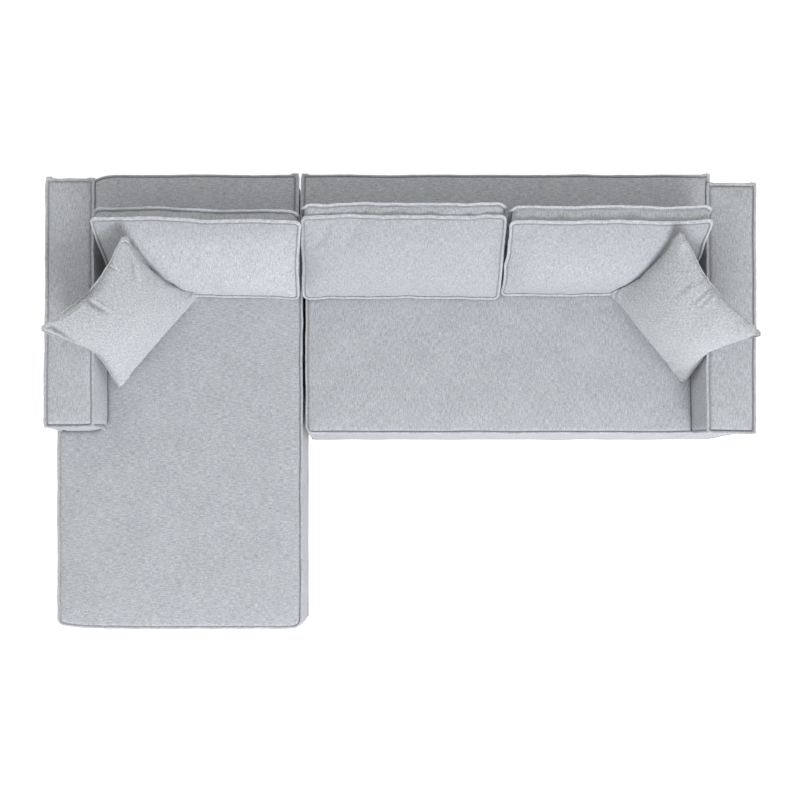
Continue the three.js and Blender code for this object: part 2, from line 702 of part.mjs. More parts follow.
function pillowFrame(side, fromArm, fromRear, lean) {
  const x = side * (totalWidth / 2 - armWidth - fromArm);
  const y = rearY - fromRear;
  const outward = new THREE.Vector3(side * Math.sin(pillowTurn), Math.cos(pillowTurn), 0);
  const along = new THREE.Vector3(outward.y, -outward.x, 0);
  const through = outward.clone().multiplyScalar(Math.cos(lean)).setZ(-Math.sin(lean));
  const up = outward.clone().multiplyScalar(Math.sin(lean)).setZ(Math.cos(lean));
  const foot = new THREE.Vector3(x, y, seatHeight + restGap);
  return new THREE.Matrix4().makeBasis(along, through, up).setPosition(foot);
}

// Presses a point out of a slab whose long top edge is rounded: depth inside its face and its top
function clearOfEdge(depth, below) {
  const reach = leanRound + leanGap;
  if (depth < leanRound && below < leanRound) {
    const toCentre = Math.hypot(leanRound - depth, leanRound - below);
    if (toCentre >= reach) return [depth, below];
    const grow = reach / toCentre;
    return [leanRound - (leanRound - depth) * grow, leanRound - (leanRound - below) * grow];
  }
  if (depth > -leanGap && depth <= below) return [-leanGap, below];
  if (below > -leanGap && below < depth) return [depth, -leanGap];
  return [depth, below];
}

const clearOfSeat = (seatTop) => (point) => {
  point.z = Math.max(point.z, seatTop(point.x, point.y) + restGap);
};

const clearOfArm = (side, innerX) => (point) => {
  const [depth, below] = clearOfEdge(side * (point.x - innerX), armHeight + slabCrown - point.z);
  point.x = innerX + side * depth;
  point.z = armHeight + slabCrown - below;
};

const clearOfBack = (point) => {
  const [depth, below] = clearOfEdge(point.y - backFrontY, backHeight + slabCrown - point.z);
  point.y = backFrontY + depth;
  point.z = backHeight + slabCrown - below;
};

const clearOfCushion = (frame) => (point) => {
  const local = point.clone().applyMatrix4(frame.clone().invert());
  const a = THREE.MathUtils.clamp(2 * local.x / cushionWidth, -1, 1);
  const b = THREE.MathUtils.clamp(2 * local.z / cushionHeight - 1, -1, 1);
  const beyond = Math.abs(a) === 1 || local.z > cushionHeight + pillowGap;
  const face = cushionFaceY(a, b) - pillowGap;
  if (beyond || local.y <= face) return;
  point.copy(local.setY(face).applyMatrix4(frame));
};

// Each vertex keeps clear of the neighbours, and its shift is shared with the vertices round it.
// The settled piece is then lowered until it rests on the seat
function settle(shell, frame, neighbours, seatTop) {
  const rest = shell.points.map((point) => point.clone().applyMatrix4(frame));
  const links = rest.map(() => new Set());
  for (let k = 0; k < shell.faces.length; k += 3) {
    const face = shell.faces.slice(k, k + 3);
    face.forEach((from) => face.forEach((to) => from !== to && links[from].add(to)));
  }
  let shifts = rest.map(() => new THREE.Vector3());
  for (let round = 0; round < settleRounds; round += 1) {
    const blended = shifts.map((shift, index) => {
      const mean = new THREE.Vector3();
      links[index].forEach((other) => mean.add(shifts[other]));
      return shift.clone().lerp(mean.divideScalar(links[index].size), settleBlendShare);
    });
    shifts = blended.map((shift, index) => {
      const point = rest[index].clone().add(shift);
      neighbours.forEach((clear) => clear(point));
      return point.sub(rest[index]);
    });
  }
  const settled = rest.map((point, index) => point.clone().add(shifts[index]));
  const drop = Math.min(...settled.map(({ x, y, z }) => z - seatTop(x, y) - restGap));
  const places = settled.map(({ x, y, z }) => [x, y, z - drop]);
  const geometry = new THREE.BufferGeometry();
  geometry.setAttribute('position', new THREE.BufferAttribute(new Float32Array(places.flat()), 3));
  geometry.setIndex(shell.faces);
  geometry.computeVertexNormals();
  return geometry;
}

function backCushion(frame, seatTop) {
  const shell = gridShell(cushionColumns, cushionRows, cushionPoint, 3);
  return settle(shell, frame, [clearOfSeat(seatTop), clearOfBack], seatTop);
}

function throwPillow(frame, side, innerX, cushion, seatTop) {
  const shell = gridShell(pillowCells, pillowCells, pillowPoint, 2);
  const neighbours = [clearOfCushion(cushion), clearOfArm(side, innerX), clearOfSeat(seatTop)];
  return settle(shell, frame, neighbours, seatTop);
}

const leftCushionFrame = cushionFrame(leftCushionX, leftCushionYaw);
const middleCushionFrame = cushionFrame(middleCushionX, middleCushionYaw);
const rightCushionFrame = cushionFrame(rightCushionX, rightCushionYaw);

add(chaiseModule, 'left_back_cushion', backCushion(leftCushionFrame, chaiseSeatTop), fabric);
add(sofaModule, 'middle_back_cushion', backCushion(middleCushionFrame, sofaSeatTop), fabric);
add(sofaModule, 'right_back_cushion', backCushion(rightCushionFrame, sofaSeatTop), fabric);

const leftPillowFrame = pillowFrame(-1, leftPillowFromArm, leftPillowFromRear, leftPillowLean);
const rightPillowFrame = pillowFrame(1, rightPillowFromArm, rightPillowFromRear, rightPillowLean);

add(chaiseModule, 'left_throw_pillow',
  throwPillow(leftPillowFrame, -1, leftArmInnerX, leftCushionFrame, chaiseSeatTop), fabric);
add(sofaModule, 'right_throw_pillow',
  throwPillow(rightPillowFrame, 1, rightArmInnerX, rightCushionFrame, sofaSeatTop), fabric);

export default sofa;
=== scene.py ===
# Looks of a sectional sofa: a chaise module with the left arm beside a two-seat module with the
# right arm, three back cushions and two throw pillows, all in one light grey slub weave. The CAD
# timber, springs, bolts, feet, connectors and dust covers stay and get their own finishes. Metres.
import math

import bmesh
import bpy
import numpy as np
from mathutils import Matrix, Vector
from mathutils.bvhtree import BVHTree


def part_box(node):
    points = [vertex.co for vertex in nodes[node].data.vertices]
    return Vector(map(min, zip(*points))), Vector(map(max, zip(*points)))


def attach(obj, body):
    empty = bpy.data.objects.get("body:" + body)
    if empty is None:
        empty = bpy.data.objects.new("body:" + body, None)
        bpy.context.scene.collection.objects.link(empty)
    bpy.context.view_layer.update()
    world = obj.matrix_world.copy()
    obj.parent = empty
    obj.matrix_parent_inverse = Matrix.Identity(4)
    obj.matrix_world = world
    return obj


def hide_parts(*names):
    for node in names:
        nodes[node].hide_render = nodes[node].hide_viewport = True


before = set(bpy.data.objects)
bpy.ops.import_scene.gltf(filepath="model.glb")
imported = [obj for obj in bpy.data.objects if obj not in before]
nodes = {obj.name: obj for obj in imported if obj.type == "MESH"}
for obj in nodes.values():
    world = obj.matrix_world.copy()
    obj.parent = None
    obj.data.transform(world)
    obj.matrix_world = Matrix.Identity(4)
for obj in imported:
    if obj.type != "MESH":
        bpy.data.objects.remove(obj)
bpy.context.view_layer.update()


# The studio: the camera hangs over the sofa as in the photograph, a wide lamp stands in front on
# the right, and the sky fills in. The floor is white to the camera but keeps the sofa's shadow.
photo_side = 800
focal_pixels = 1029.9
centre_pixels = (382, 505)
camera_place = (-0.0717, -0.3975, 4.7)
sensor_width = 36
lamp_place = (2.31, -7.21, 5.0)
lamp_target = (-0.1, 0.2, 0.5)
lamp_size = (5.0, 2.6)
lamp_watts = 590
lamp_colour = (0.97, 0.995, 1.03)
sky_strength = 0.64
sky_colour = (1.012, 1.0, 0.98)
floor_size = 60
floor_bounce = 0.74
floor_glow = 0.88
floor_catch = 0.3


class Wire:
    """One socket of a material, so that its maths is written as sums."""

    def __init__(self, tree, socket=None):
        self.tree = tree
        self.socket = socket

    def node(self, kind, settings=None, inputs=None, output=0):
        made = self.tree.nodes.new(kind)
        for name, value in (settings or {}).items():
            if name == "stops":
                ramp = made.color_ramp.elements
                while len(ramp) < len(value):
                    ramp.new(1)
                for stop, (place, colour) in zip(ramp, value):
                    stop.position = place
                    stop.color = colour
            else:
                setattr(made, name, value)
        for place, value in (inputs or {}).items():
            if isinstance(value, Wire):
                self.tree.links.new(value.socket, made.inputs[place])
            else:
                made.inputs[place].default_value = value
        return Wire(self.tree, made.outputs[output])

    def maths(self, operation, first, second=0.0):
        return self.node("ShaderNodeMath", {"operation": operation}, {0: first, 1: second})

    def __add__(self, other):
        return self.maths("ADD", self, other)

    def __sub__(self, other):
        return self.maths("SUBTRACT", self, other)

    def __rsub__(self, other):
        return self.maths("SUBTRACT", other, self)

    def __mul__(self, other):
        return self.maths("MULTIPLY", self, other)

    __radd__ = __add__
    __rmul__ = __mul__

    def kept(self, low=0.0, high=1.0):
        return self.maths("MINIMUM", self.maths("MAXIMUM", self, low), high)

    def mix(self, first, second):
        settings = {"data_type": "RGBA"}
        return self.node("ShaderNodeMix", settings, {"Factor": self, 6: first, 7: second}, 2)

    def noise(self, where, sizes, detail=1.0, distortion=0.0):
        shares = tuple(1 / size for size in sizes)
        placed = self.node("ShaderNodeMapping", {"vector_type": "POINT"}, {"Vector": where, "Scale": shares})
        settings = {"noise_dimensions": "3D"}
        inputs = {"Vector": placed, "Scale": 1.0, "Detail": detail, "Distortion": distortion}
        return self.node("ShaderNodeTexNoise", settings, inputs)

    def bump(self, strength, distance, height):
        inputs = {"Strength": strength, "Distance": distance, "Height": height}
        return self.node("ShaderNodeBump", {}, inputs)

    def own_place(self):
        """Where a point lies in its piece, in metres."""
        return Wire(self.tree, self.node("ShaderNodeTexCoord").socket.node.outputs["Object"])


def new_material(name):
    material = bpy.data.materials.new(name)
    material.use_nodes = True
    material.node_tree.nodes.clear()
    return material, Wire(material.node_tree)


def put_out(wire, surface):
    out = wire.tree.nodes.new("ShaderNodeOutputMaterial")
    wire.tree.links.new(surface.socket, out.inputs["Surface"])


def put_skin(wire, colour, rough, bump, more=None):
    inputs = {"Base Color": colour, "Roughness": rough, "Normal": bump, **(more or {})}
    put_out(wire, wire.node("ShaderNodeBsdfPrincipled", {}, inputs))


def added(name, data):
    """A new object in the scene."""
    made = bpy.data.objects.new(name, data)
    bpy.context.scene.collection.objects.link(made)
    return made


def add_camera():
    data = bpy.data.cameras.new("camera")
    data.sensor_width = sensor_width
    data.lens = focal_pixels * sensor_width / photo_side
    data.shift_x = (photo_side / 2 - centre_pixels[0]) / photo_side
    data.shift_y = (centre_pixels[1] - photo_side / 2) / photo_side
    camera = added("camera", data)
    camera.location = camera_place
    bpy.context.scene.camera = camera


def add_lamp():
    data = bpy.data.lights.new("softbox", "AREA")
    data.shape = "RECTANGLE"
    data.size, data.size_y = lamp_size
    data.energy = lamp_watts
    data.color = lamp_colour
    lamp = added("softbox", data)
    lamp.location = lamp_place
    away = Vector(lamp_place) - Vector(lamp_target)
    lamp.rotation_euler = away.to_track_quat("Z", "Y").to_euler()


def seen_by_eye(wire):
    path = wire.node("ShaderNodeLightPath")
    outputs = path.socket.node.outputs
    rays = [Wire(wire.tree, outputs[name]) for name in
            ("Is Camera Ray", "Is Glossy Ray", "Is Transmission Ray")]
    return (rays[0] + rays[1] + rays[2]).kept()


def light_sky():
    world = bpy.data.worlds.new("studio")
    world.use_nodes = True
    world.node_tree.nodes.clear()
    wire = Wire(world.node_tree)
    seen = seen_by_eye(wire)
    strength = seen * (1 - sky_strength) + sky_strength
    colour = seen.mix(sky_colour + (1,), (1, 1, 1, 1))
    glow = wire.node("ShaderNodeBackground", {}, {"Color": colour, "Strength": strength})
    out = world.node_tree.nodes.new("ShaderNodeOutputWorld")
    world.node_tree.links.new(glow.socket, out.inputs["Surface"])
    bpy.context.scene.world = world


def lay_floor():
    half = floor_size / 2
    mesh = bpy.data.meshes.new("floor")
    corners = [(-half, -half, 0), (half, -half, 0), (half, half, 0), (-half, half, 0)]
    mesh.from_pydata(corners, [], [(0, 1, 2, 3)])
    floor = added("floor", mesh)
    material, wire = new_material("studio floor")
    bounce = wire.node("ShaderNodeBsdfDiffuse", {}, {"Color": (floor_bounce,) * 3 + (1,)})
    catch = wire.node("ShaderNodeBsdfDiffuse", {}, {"Color": (floor_catch,) * 3 + (1,)})
    glow = wire.node("ShaderNodeEmission", {}, {"Color": (1, 1, 1, 1), "Strength": floor_glow})
    white = wire.node("ShaderNodeAddShader", {}, {0: catch, 1: glow})
    put_out(wire, wire.node("ShaderNodeMixShader", {}, {0: seen_by_eye(wire), 1: bounce, 2: white}))
    mesh.materials.append(material)


bpy.context.scene.view_settings.view_transform = "Standard"
add_camera()
add_lamp()
light_sky()
lay_floor()


# The cover fabric: a light grey slub weave. Pale and grey yarns lie in short streaks along the
# warp (v of the piece's own map, in metres), crossed by finer weft, with a broad bluish drift. Each
# piece's "shade" attribute is painted light. It runs from 1, painted shade dark in a seam's groove,
# to -1, a painted highlight pale on a flange's outer edge. It also holds painted shade in creases and
# corners, and painted light that changes from top to bottom on cushions and pillows.
yarn_pitch = 0.0019
slub_size = (0.0023, 0.015)
streak_size = (0.0034, 0.032)
weft_size = (0.016, 0.0026)
grain_size = (0.0024, 0.0024, 1)
drift_size = (0.09, 0.15, 1)
tint_size = (0.03, 0.05, 1)
slub_weight = 1.7
streak_weight = 1.2
weft_weight = 1.1
grain_weight = 1.6
crossing_weight = 0.07
drift_weight = 0.3
cool_yarn = (0.975, 0.988, 1.02, 1)
warm_yarn = (1.01, 1.0, 0.985, 1)
sheen_weight = 0.22
sheen_roughness = 0.55
weave_depth = 0.00045
# How strongly painted shade darkens seams and creases, and how strongly painted highlight pales flange
# edges.
painted_shade_strength = 0.36
painted_highlight_strength = 0.12


def woven(name, pale, grey, contrast, coarse):
    material, wire = new_material(name)
    cloth = wire.node("ShaderNodeUVMap", {"uv_map": "cloth"})
    slubs = wire.noise(cloth, (slub_size[0], slub_size[1] * coarse, 1), 2.0, 0.2)
    streaks = wire.noise(cloth, (streak_size[0], streak_size[1] * coarse, 1), 1.0, 0.3)
    weft = wire.noise(cloth, (weft_size[0] * coarse, weft_size[1], 1), 1.0, 0.2)
    grain = wire.noise(cloth, grain_size, 1.0)
    drift = wire.noise(cloth, drift_size, 2.0)
    tint = wire.noise(cloth, tint_size, 2.0)
    waves = 2 * math.pi / yarn_pitch
    split = wire.node("ShaderNodeSeparateXYZ", {}, {0: cloth})
    across = Wire(wire.tree, split.socket.node.outputs[0])
    along = Wire(wire.tree, split.socket.node.outputs[1])
    over = wire.maths("SINE", across * waves) * wire.maths("SINE", along * waves)
    tone = (slubs - 0.5) * slub_weight + (streaks - 0.5) * streak_weight
    tone = tone + (weft - 0.5) * weft_weight + (grain - 0.5) * grain_weight
    tone = ((tone + over * crossing_weight) * contrast + (drift - 0.5) * drift_weight + 0.5).kept()
    yarns = tone.mix(grey + (1,), pale + (1,))
    cool = ((tint - 0.5) * 2.0 + 0.5).kept().mix(warm_yarn, cool_yarn)
    settings = {"data_type": "RGBA", "blend_type": "MULTIPLY"}
    tinted = wire.node("ShaderNodeMix", settings, {"Factor": 1.0, 6: yarns, 7: cool}, 2)
    # Painted light: the shade attribute darkens the cloth as painted shade above 0 and pales it as painted
    # highlight below 0.
    shade = wire.node("ShaderNodeAttribute", {"attribute_name": "shade"}, {}, 2)
    uneven = ((streaks + drift - 1.0) * 2.0 + 1.0).kept(0.4, 1.5)
    light = 1.0 - shade.kept() * uneven * painted_shade_strength + (shade * -1.0).kept() * painted_highlight_strength
    colour = wire.node("ShaderNodeVectorMath", {"operation": "SCALE"}, {0: tinted, "Scale": light})
    height = over * 0.5 + slubs * 1.2 + weft * 0.7
    rough = (slubs - 0.5) * 0.15 + 0.9
    sheen = {"Sheen Weight": sheen_weight, "Sheen Roughness": sheen_roughness, "Specular IOR Level": 0.2}
    put_skin(wire, colour, rough, wire.bump(0.5, weave_depth, height), sheen)
    return material


cover_fabric = woven(
    "cover slub weave", pale=(0.65, 0.666, 0.695), grey=(0.338, 0.35, 0.371), contrast=0.98, coarse=1.0)
pillow_fabric = woven(
    "pillow slub weave", pale=(0.66, 0.675, 0.695), grey=(0.335, 0.345, 0.358), contrast=1.4, coarse=0.5)


def sewing_thread(name, colour):
    material, wire = new_material(name)
    place = wire.own_place()
    twist = wire.noise(place, (0.0012, 0.0012, 0.0012), 1.0)
    tone = (twist * 0.5 + 0.75).kept(0.0, 1.3)
    shade = wire.node("ShaderNodeVectorMath", {"operation": "SCALE"}, {0: colour, "Scale": tone})
    put_skin(wire, shade, 0.7, wire.bump(0.4, 0.0003, twist))
    return material


# A real thread colour, made much darker than the cover so that the stitch rows also act as painted shade in
# the seam grooves.
thread = sewing_thread("cover thread", (0.17, 0.18, 0.19))


# Upholstered panels. Each cover is sewn from flat panels over foam: a panel starts low in the seam
# at its edges, rises over a soft shoulder and crowns in the middle, with small puckers along seams.
edge_steps = (0, 0.0012, 0.003, 0.0055, 0.0085, 0.0125, 0.0175, 0.024, 0.032, 0.042)
coarse_step = 0.013
pucker_reach = 0.02
pucker_height = 0.0007
wobble_height = 0.0013
# seam_reach is how far painted shade spreads from a seam.
seam_reach = 0.0034


def grid_lines(length):
    """Lines across a panel, closer together near its two seams."""
    edge = np.array(edge_steps)
    edge = edge[edge < length / 2 - 0.002]
    band = edge[-1]
    inner = np.linspace(band, length - band, max(2, round((length - 2 * band) / coarse_step) + 1))
    return np.unique(np.round(np.concatenate([edge, inner, length - edge]), 6))


def waves_1d(along, seed, shortest=0.018, longest=0.06):
    """A smooth random wave of a length, between about -1 and 1."""
    rng = np.random.default_rng(seed)
    total = np.zeros_like(along)
    for _ in range(6):
        total += np.sin(2 * np.pi * along / rng.uniform(shortest, longest) + rng.uniform(0, 7))
    return total / 3


def waves_2d(u, v, seed, shortest, longest):
    rng = np.random.default_rng(seed)
    total = np.zeros_like(u)
    for _ in range(8):
        turn = rng.uniform(0, np.pi)
        wave = 2 * np.pi / rng.uniform(shortest, longest)
        total += np.sin((u * np.cos(turn) + v * np.sin(turn)) * wave + rng.uniform(0, 7))
    return total / 4


def wobble(points):
    """The slight unevenness of hand-sewn covers, the same for all that shares a seam."""
    points = np.asarray(points, float)
    x, y, z = points.T
    shift = np.stack([
        np.sin(11.3 * y + 4.1 * z + 0.7) + np.sin(23.7 * y - 9.7 * x + 2.1),
        np.sin(12.9 * x + 5.3 * z + 1.9) + np.sin(21.1 * x - 8.3 * y + 0.4),
        np.sin(10.1 * x + 7.7 * y + 3.3) + np.sin(19.3 * y - 13.1 * x + 5.2),
    ], axis=1)
    return points + shift * wobble_height / 2


def rise(distance, reach):
    fall = 1 - np.clip(distance / reach, 0, 1)
    return 1 - fall * fall


def painted_seam_shade(distance):
    """How much painted shade darkens the cloth at a distance from a seam, where its groove is shaded."""
    return np.exp(-(distance / seam_reach) ** 2)


def round_edge(distance, reach):
    """A quarter round: steep at the seam, level at its reach."""
    fall = 1 - np.clip(distance / reach, 0, 1)
    return np.sqrt(1 - fall ** 2.2)


def grid_quads(index):
    """The four corners of each cell in a grid of point numbers."""
    return np.stack([index[:-1, :-1], index[1:, :-1], index[1:, 1:], index[:-1, 1:]], -1)


class Panels:
    """Panels of one cover, which become one mesh with a cloth map in metres."""

    def __init__(self):
        self.points = []
        self.maps = []
        self.shades = []
        self.faces = []
        self.count = 0

    def add_grid(self, points, cloth, flip=False, shade=0.0):
        """points and cloth are arrays of rows by columns; right-handed rows and columns face out."""
        rows, columns = points.shape[:2]
        start = self.count
        index = start + np.arange(rows * columns).reshape(rows, columns)
        quads = grid_quads(index).reshape(-1, 4)
        self.faces.append(quads[:, ::-1] if flip else quads)
        self.points.append(points.reshape(-1, 3))
        self.maps.append(cloth.reshape(-1, 2))
        self.shades.append(np.broadcast_to(shade, (rows, columns)).ravel())
        self.count += rows * columns

    def make(self, name, material, wobbled=True, merge=0.00002):
        points = np.concatenate(self.points)
        if wobbled:
            points = wobble(points)
        cloth = np.concatenate(self.maps)
        faces = np.concatenate(self.faces)
        mesh = bpy.data.meshes.new(name)
        mesh.from_pydata(points.tolist(), [], faces.tolist())
        layer = mesh.uv_layers.new(name="cloth")
        layer.data.foreach_set("uv", cloth[faces.ravel()].astype(np.float32).ravel())
        shade = mesh.attributes.new("shade", "FLOAT", "POINT")
        shade.data.foreach_set("value", np.concatenate(self.shades).astype(np.float32))
        if merge:
            shell = bmesh.new()
            shell.from_mesh(mesh)
            bmesh.ops.remove_doubles(shell, verts=shell.verts, dist=merge)
            shell.to_mesh(mesh)
            shell.free()
        mesh.polygons.foreach_set("use_smooth", [True] * len(mesh.polygons))
        mesh.materials.append(material)
        return added(name, mesh)


def panel(panels, corner, across, up, lines, shape, warp_up=True, seed=1, darks=(1, 1, 1, 1), base=0.0):
    """One padded panel, facing across x up. shape holds the heights and reaches of its parts.

    darks tell how much painted shade darkens its seams at low and high u and low and high v, and base
    is painted light over the whole panel, paler below 0.
    """
    u, v = np.meshgrid(lines[0], lines[1], indexing="ij")
    width, height = lines[0][-1], lines[1][-1]
    near_u, near_v = np.minimum(u, width - u), np.minimum(v, height - v)
    shoulder = round_edge(near_u, shape["shoulder"]) * round_edge(near_v, shape["shoulder"])
    crown = rise(near_u, shape["roll"]) * rise(near_v, shape["roll"])
    pucker = (np.exp(-near_u / pucker_reach) * waves_1d(v + seed, seed)
              + np.exp(-near_v / pucker_reach) * waves_1d(u + seed, seed + 50))
    lift = shape["puff"] * shoulder + shape["crown"] * crown + pucker_height * pucker * shoulder
    lift = lift + shape.get("drift", 0.0008) * waves_2d(u, v, seed + 9, 0.22, 0.6) * crown
    across, up = np.array(across, float), np.array(up, float)
    out = np.cross(across, up)
    points = (np.array(corner, float) + u[..., None] * across + v[..., None] * up + lift[..., None] * out)
    cloth = np.stack([u, v] if warp_up else [v, u], -1) + seed * 0.37
    runs = (u, width - u, v, height - v)
    seam = np.max([painted_seam_shade(run) * dark for run, dark in zip(runs, darks)], axis=0)
    panels.add_grid(points, cloth, shade=base + (1 - base) * seam)


flange_shares = np.array([-0.08, 0.1, 0.22, 0.4, 0.65, 0.86, 0.97])
flange_halves = np.array([0.8, 0.42, 0.46, 0.55, 0.56, 0.46, 0.26]) * 0.0036
# Painted light across a flange, from root to edge and back: painted shade in the seam's groove, painted
# highlight on its outer part.
flange_painted_light = np.array([1.0, 1.0, 0.75, -0.3, -0.9, -1.0, -0.7])
flange_root_share = 0.22
mitre_share = 0.84


def flange_height(share, climb, tip):
    """How far the middle of a flange stands above its root, at a share of its width."""
    share = np.maximum(share, 0)
    return climb * (1 - np.exp(-share / flange_root_share)) + tip * share


def flange(panels, path, reach, normal, closed, climb, tip, seed=3, stout=1.0, dark=1.0):
    """A self flange, two layers of cover sewn together. It climbs out of its seam and lies over.

    reach holds its width and direction at each point of the path.
    """
    path, reach, normal = (np.asarray(part, float) for part in (path, reach, normal))
    steps = np.linalg.norm(np.diff(path, axis=0), axis=1)
    along = np.concatenate([[0], np.cumsum(steps)])
    width = np.linalg.norm(reach, axis=1)
    uneven = (1 + 0.05 * waves_1d(along, seed, 0.05, 0.2))[:, None]
    sway = 0.0012 * waves_1d(along, seed + 1, 0.09, 0.3) + 0.0006 * waves_1d(along, seed + 2, 0.03, 0.09)
    sides = [(share, half) for share, half in zip(flange_shares, flange_halves)] + [(1.0, 0.0)]
    sides += [(share, -half) for share, half in zip(flange_shares[::-1], flange_halves[::-1])]
    # Painted light on the flange; dark scales the painted shade at its root.
    shade = np.concatenate([flange_painted_light, [-0.5], flange_painted_light[::-1], flange_painted_light[:1]])
    shade = np.where(shade > 0, shade * np.reshape(dark, (-1, 1)), shade)
    rows = []
    for share, half in sides:
        height = flange_height(share, climb, tip) + sway * max(share, 0) ** 2 + half * stout
        rows.append(path + reach * uneven * share + normal * height[:, None])
    grid = np.stack(rows, axis=1)
    shade = np.broadcast_to(shade, (len(grid), shade.shape[1]))
    if closed:
        grid = np.concatenate([grid, grid[:1]], axis=0)
        shade = np.concatenate([shade, shade[:1]], axis=0)
        along = np.concatenate([along, [along[-1] + np.linalg.norm(path[0] - path[-1])]])
    breadth = float(np.median(width))
    run = np.cumsum([0] + [abs(b[0] - a[0]) * breadth + abs(b[1] - a[1]) for a, b in zip(sides, sides[1:])])
    cloth = np.stack(np.meshgrid(along, run, indexing="ij"), -1)[..., ::-1] + seed * 0.53
    grid = np.concatenate([grid, grid[:, :1]], axis=1)
    cloth = np.concatenate([cloth, cloth[:, -1:] + np.array([0.001, 0])], axis=1)
    panels.add_grid(grid, cloth, shade=shade)
    if not closed:
        for end, flipped in ((grid[0, :-1], True), (grid[-1, :-1], False)):
            middle = np.repeat(end.mean(axis=0)[None], len(end) + 1, 0)
            fan = np.stack([np.concatenate([end, end[:1]]), middle], axis=1)
            panels.add_grid(fan, np.zeros(fan.shape[:2] + (2,)) + seed * 0.53, flip=flipped)


def straight(start, end, step=0.009):
    start, end = np.array(start, float), np.array(end, float)
    count = max(1, round(np.linalg.norm(end - start) / step))
    return start + (end - start) * np.linspace(0, 1, count + 1)[:, None]


def corner_path(corners, reaches, step=0.009):
    """A closed path through plan corners, and the flange's reach and side at each of its points."""
    points, spread, sides = [], [], []
    for k in range(len(corners)):
        line = straight(corners[k], corners[(k + 1) % len(corners)], step)
        here, before = np.array(reaches[k], float), np.array(reaches[k - 1], float)
        points.append(line[:-1])
        sides.extend([k] * (len(line) - 1))
        rest = np.repeat(here[None], len(line) - 2, 0)
        spread.append(np.concatenate([(here + before)[None] * mitre_share, rest]))
    return np.concatenate(points), np.concatenate(spread), np.array(sides)


# Stitches: one line of lockstitch at the root of each flange, on its two sides. Geometry Nodes put
# a short tight stitch of thread at each step along the seam.
stitch_pitch = 0.0052
stitch_length = 0.0042
stitch_thickness = 0.0011


def stitch_tree():
    tree = bpy.data.node_groups.new("seam stitches", "GeometryNodeTree")
    tree.interface.new_socket("Seam", in_out="INPUT", socket_type="NodeSocketGeometry")
    for name in ("Pitch", "Length", "Thickness"):
        tree.interface.new_socket(name, in_out="INPUT", socket_type="NodeSocketFloat")
    tree.interface.new_socket("Thread", in_out="INPUT", socket_type="NodeSocketMaterial")
    tree.interface.new_socket("Stitches", in_out="OUTPUT", socket_type="NodeSocketGeometry")
    add = tree.nodes.new
    given, made = add("NodeGroupInput"), add("NodeGroupOutput")
    curve, spaced = add("GeometryNodeMeshToCurve"), add("GeometryNodeResampleCurve")
    spaced.mode = "LENGTH"
    ball, place = add("GeometryNodeMeshIcoSphere"), add("GeometryNodeInstanceOnPoints")
    ball.inputs["Radius"].default_value = 0.5
    ball.inputs["Subdivisions"].default_value = 1
    tangent, turn = add("GeometryNodeInputTangent"), add("FunctionNodeAlignRotationToVector")
    turn.axis = "X"
    size, real = add("ShaderNodeCombineXYZ"), add("GeometryNodeRealizeInstances")
    smooth, paint = add("GeometryNodeSetShadeSmooth"), add("GeometryNodeSetMaterial")
    for start, outlet, end, inlet in (
            (given, "Seam", curve, "Mesh"), (curve, "Curve", spaced, "Curve"),
            (given, "Pitch", spaced, "Length"), (spaced, "Curve", place, "Points"),
            (ball, "Mesh", place, "Instance"), (tangent, "Tangent", turn, "Vector"),
            (turn, "Rotation", place, "Rotation"), (given, "Length", size, "X"),
            (given, "Thickness", size, "Y"), (given, "Thickness", size, "Z"),
            (size, "Vector", place, "Scale"), (place, "Instances", real, "Geometry"),
            (real, "Geometry", smooth, "Geometry"), (smooth, "Geometry", paint, "Geometry"),
            (given, "Thread", paint, "Material"), (paint, "Geometry", made, "Stitches")):
        tree.links.new(start.outputs[outlet], end.inputs[inlet])
    return tree


sewn = stitch_tree()


def stitches(name, seams, body):
    """Stitches along seams, each a list of points with True for a closed one, as one piece."""
    points, edges = [], []
    for line, closed in seams:
        start = len(points)
        points.extend(np.asarray(line).tolist())
        edges.extend((start + k, start + k + 1) for k in range(len(line) - 1))
        if closed:
            edges.append((start + len(line) - 1, start))
    mesh = bpy.data.meshes.new(name)
    mesh.from_pydata(points, edges, [])
    guide = added(name + "_guide", mesh)
    sewing = guide.modifiers.new("sewing", "NODES")
    sewing.node_group = sewn
    values = {
        "Pitch": stitch_pitch, "Length": stitch_length, "Thickness": stitch_thickness, "Thread": thread}
    for socket in sewn.interface.items_tree:
        if socket.name in values and socket.in_out == "INPUT":
            sewing[socket.identifier] = values[socket.name]
    made = bpy.data.meshes.new_from_object(guide.evaluated_get(bpy.context.evaluated_depsgraph_get()))
    bpy.data.objects.remove(guide)
    made.name = name
    piece = added(name, made)
    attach(piece, body)
    return piece


def seam_lines(path, reach, normal, climb, tip):
    """Where the two rows of stitches lie on a flange."""
    share, half = 0.2, 0.0018
    middle = np.asarray(path) + np.asarray(reach) * share
    normal = np.asarray(normal)
    height = np.reshape(flange_height(share, climb, tip), (-1, 1))
    return [middle + normal * (height + half), middle + normal * (height - half)]


# The arm and back slabs: foam round a timber frame under a cover of five panels. A self flange
# runs round the top and down the corners, and each cover is stapled under the slab.
slab_top_drop = 0.005
slab_root_drop = 0.009
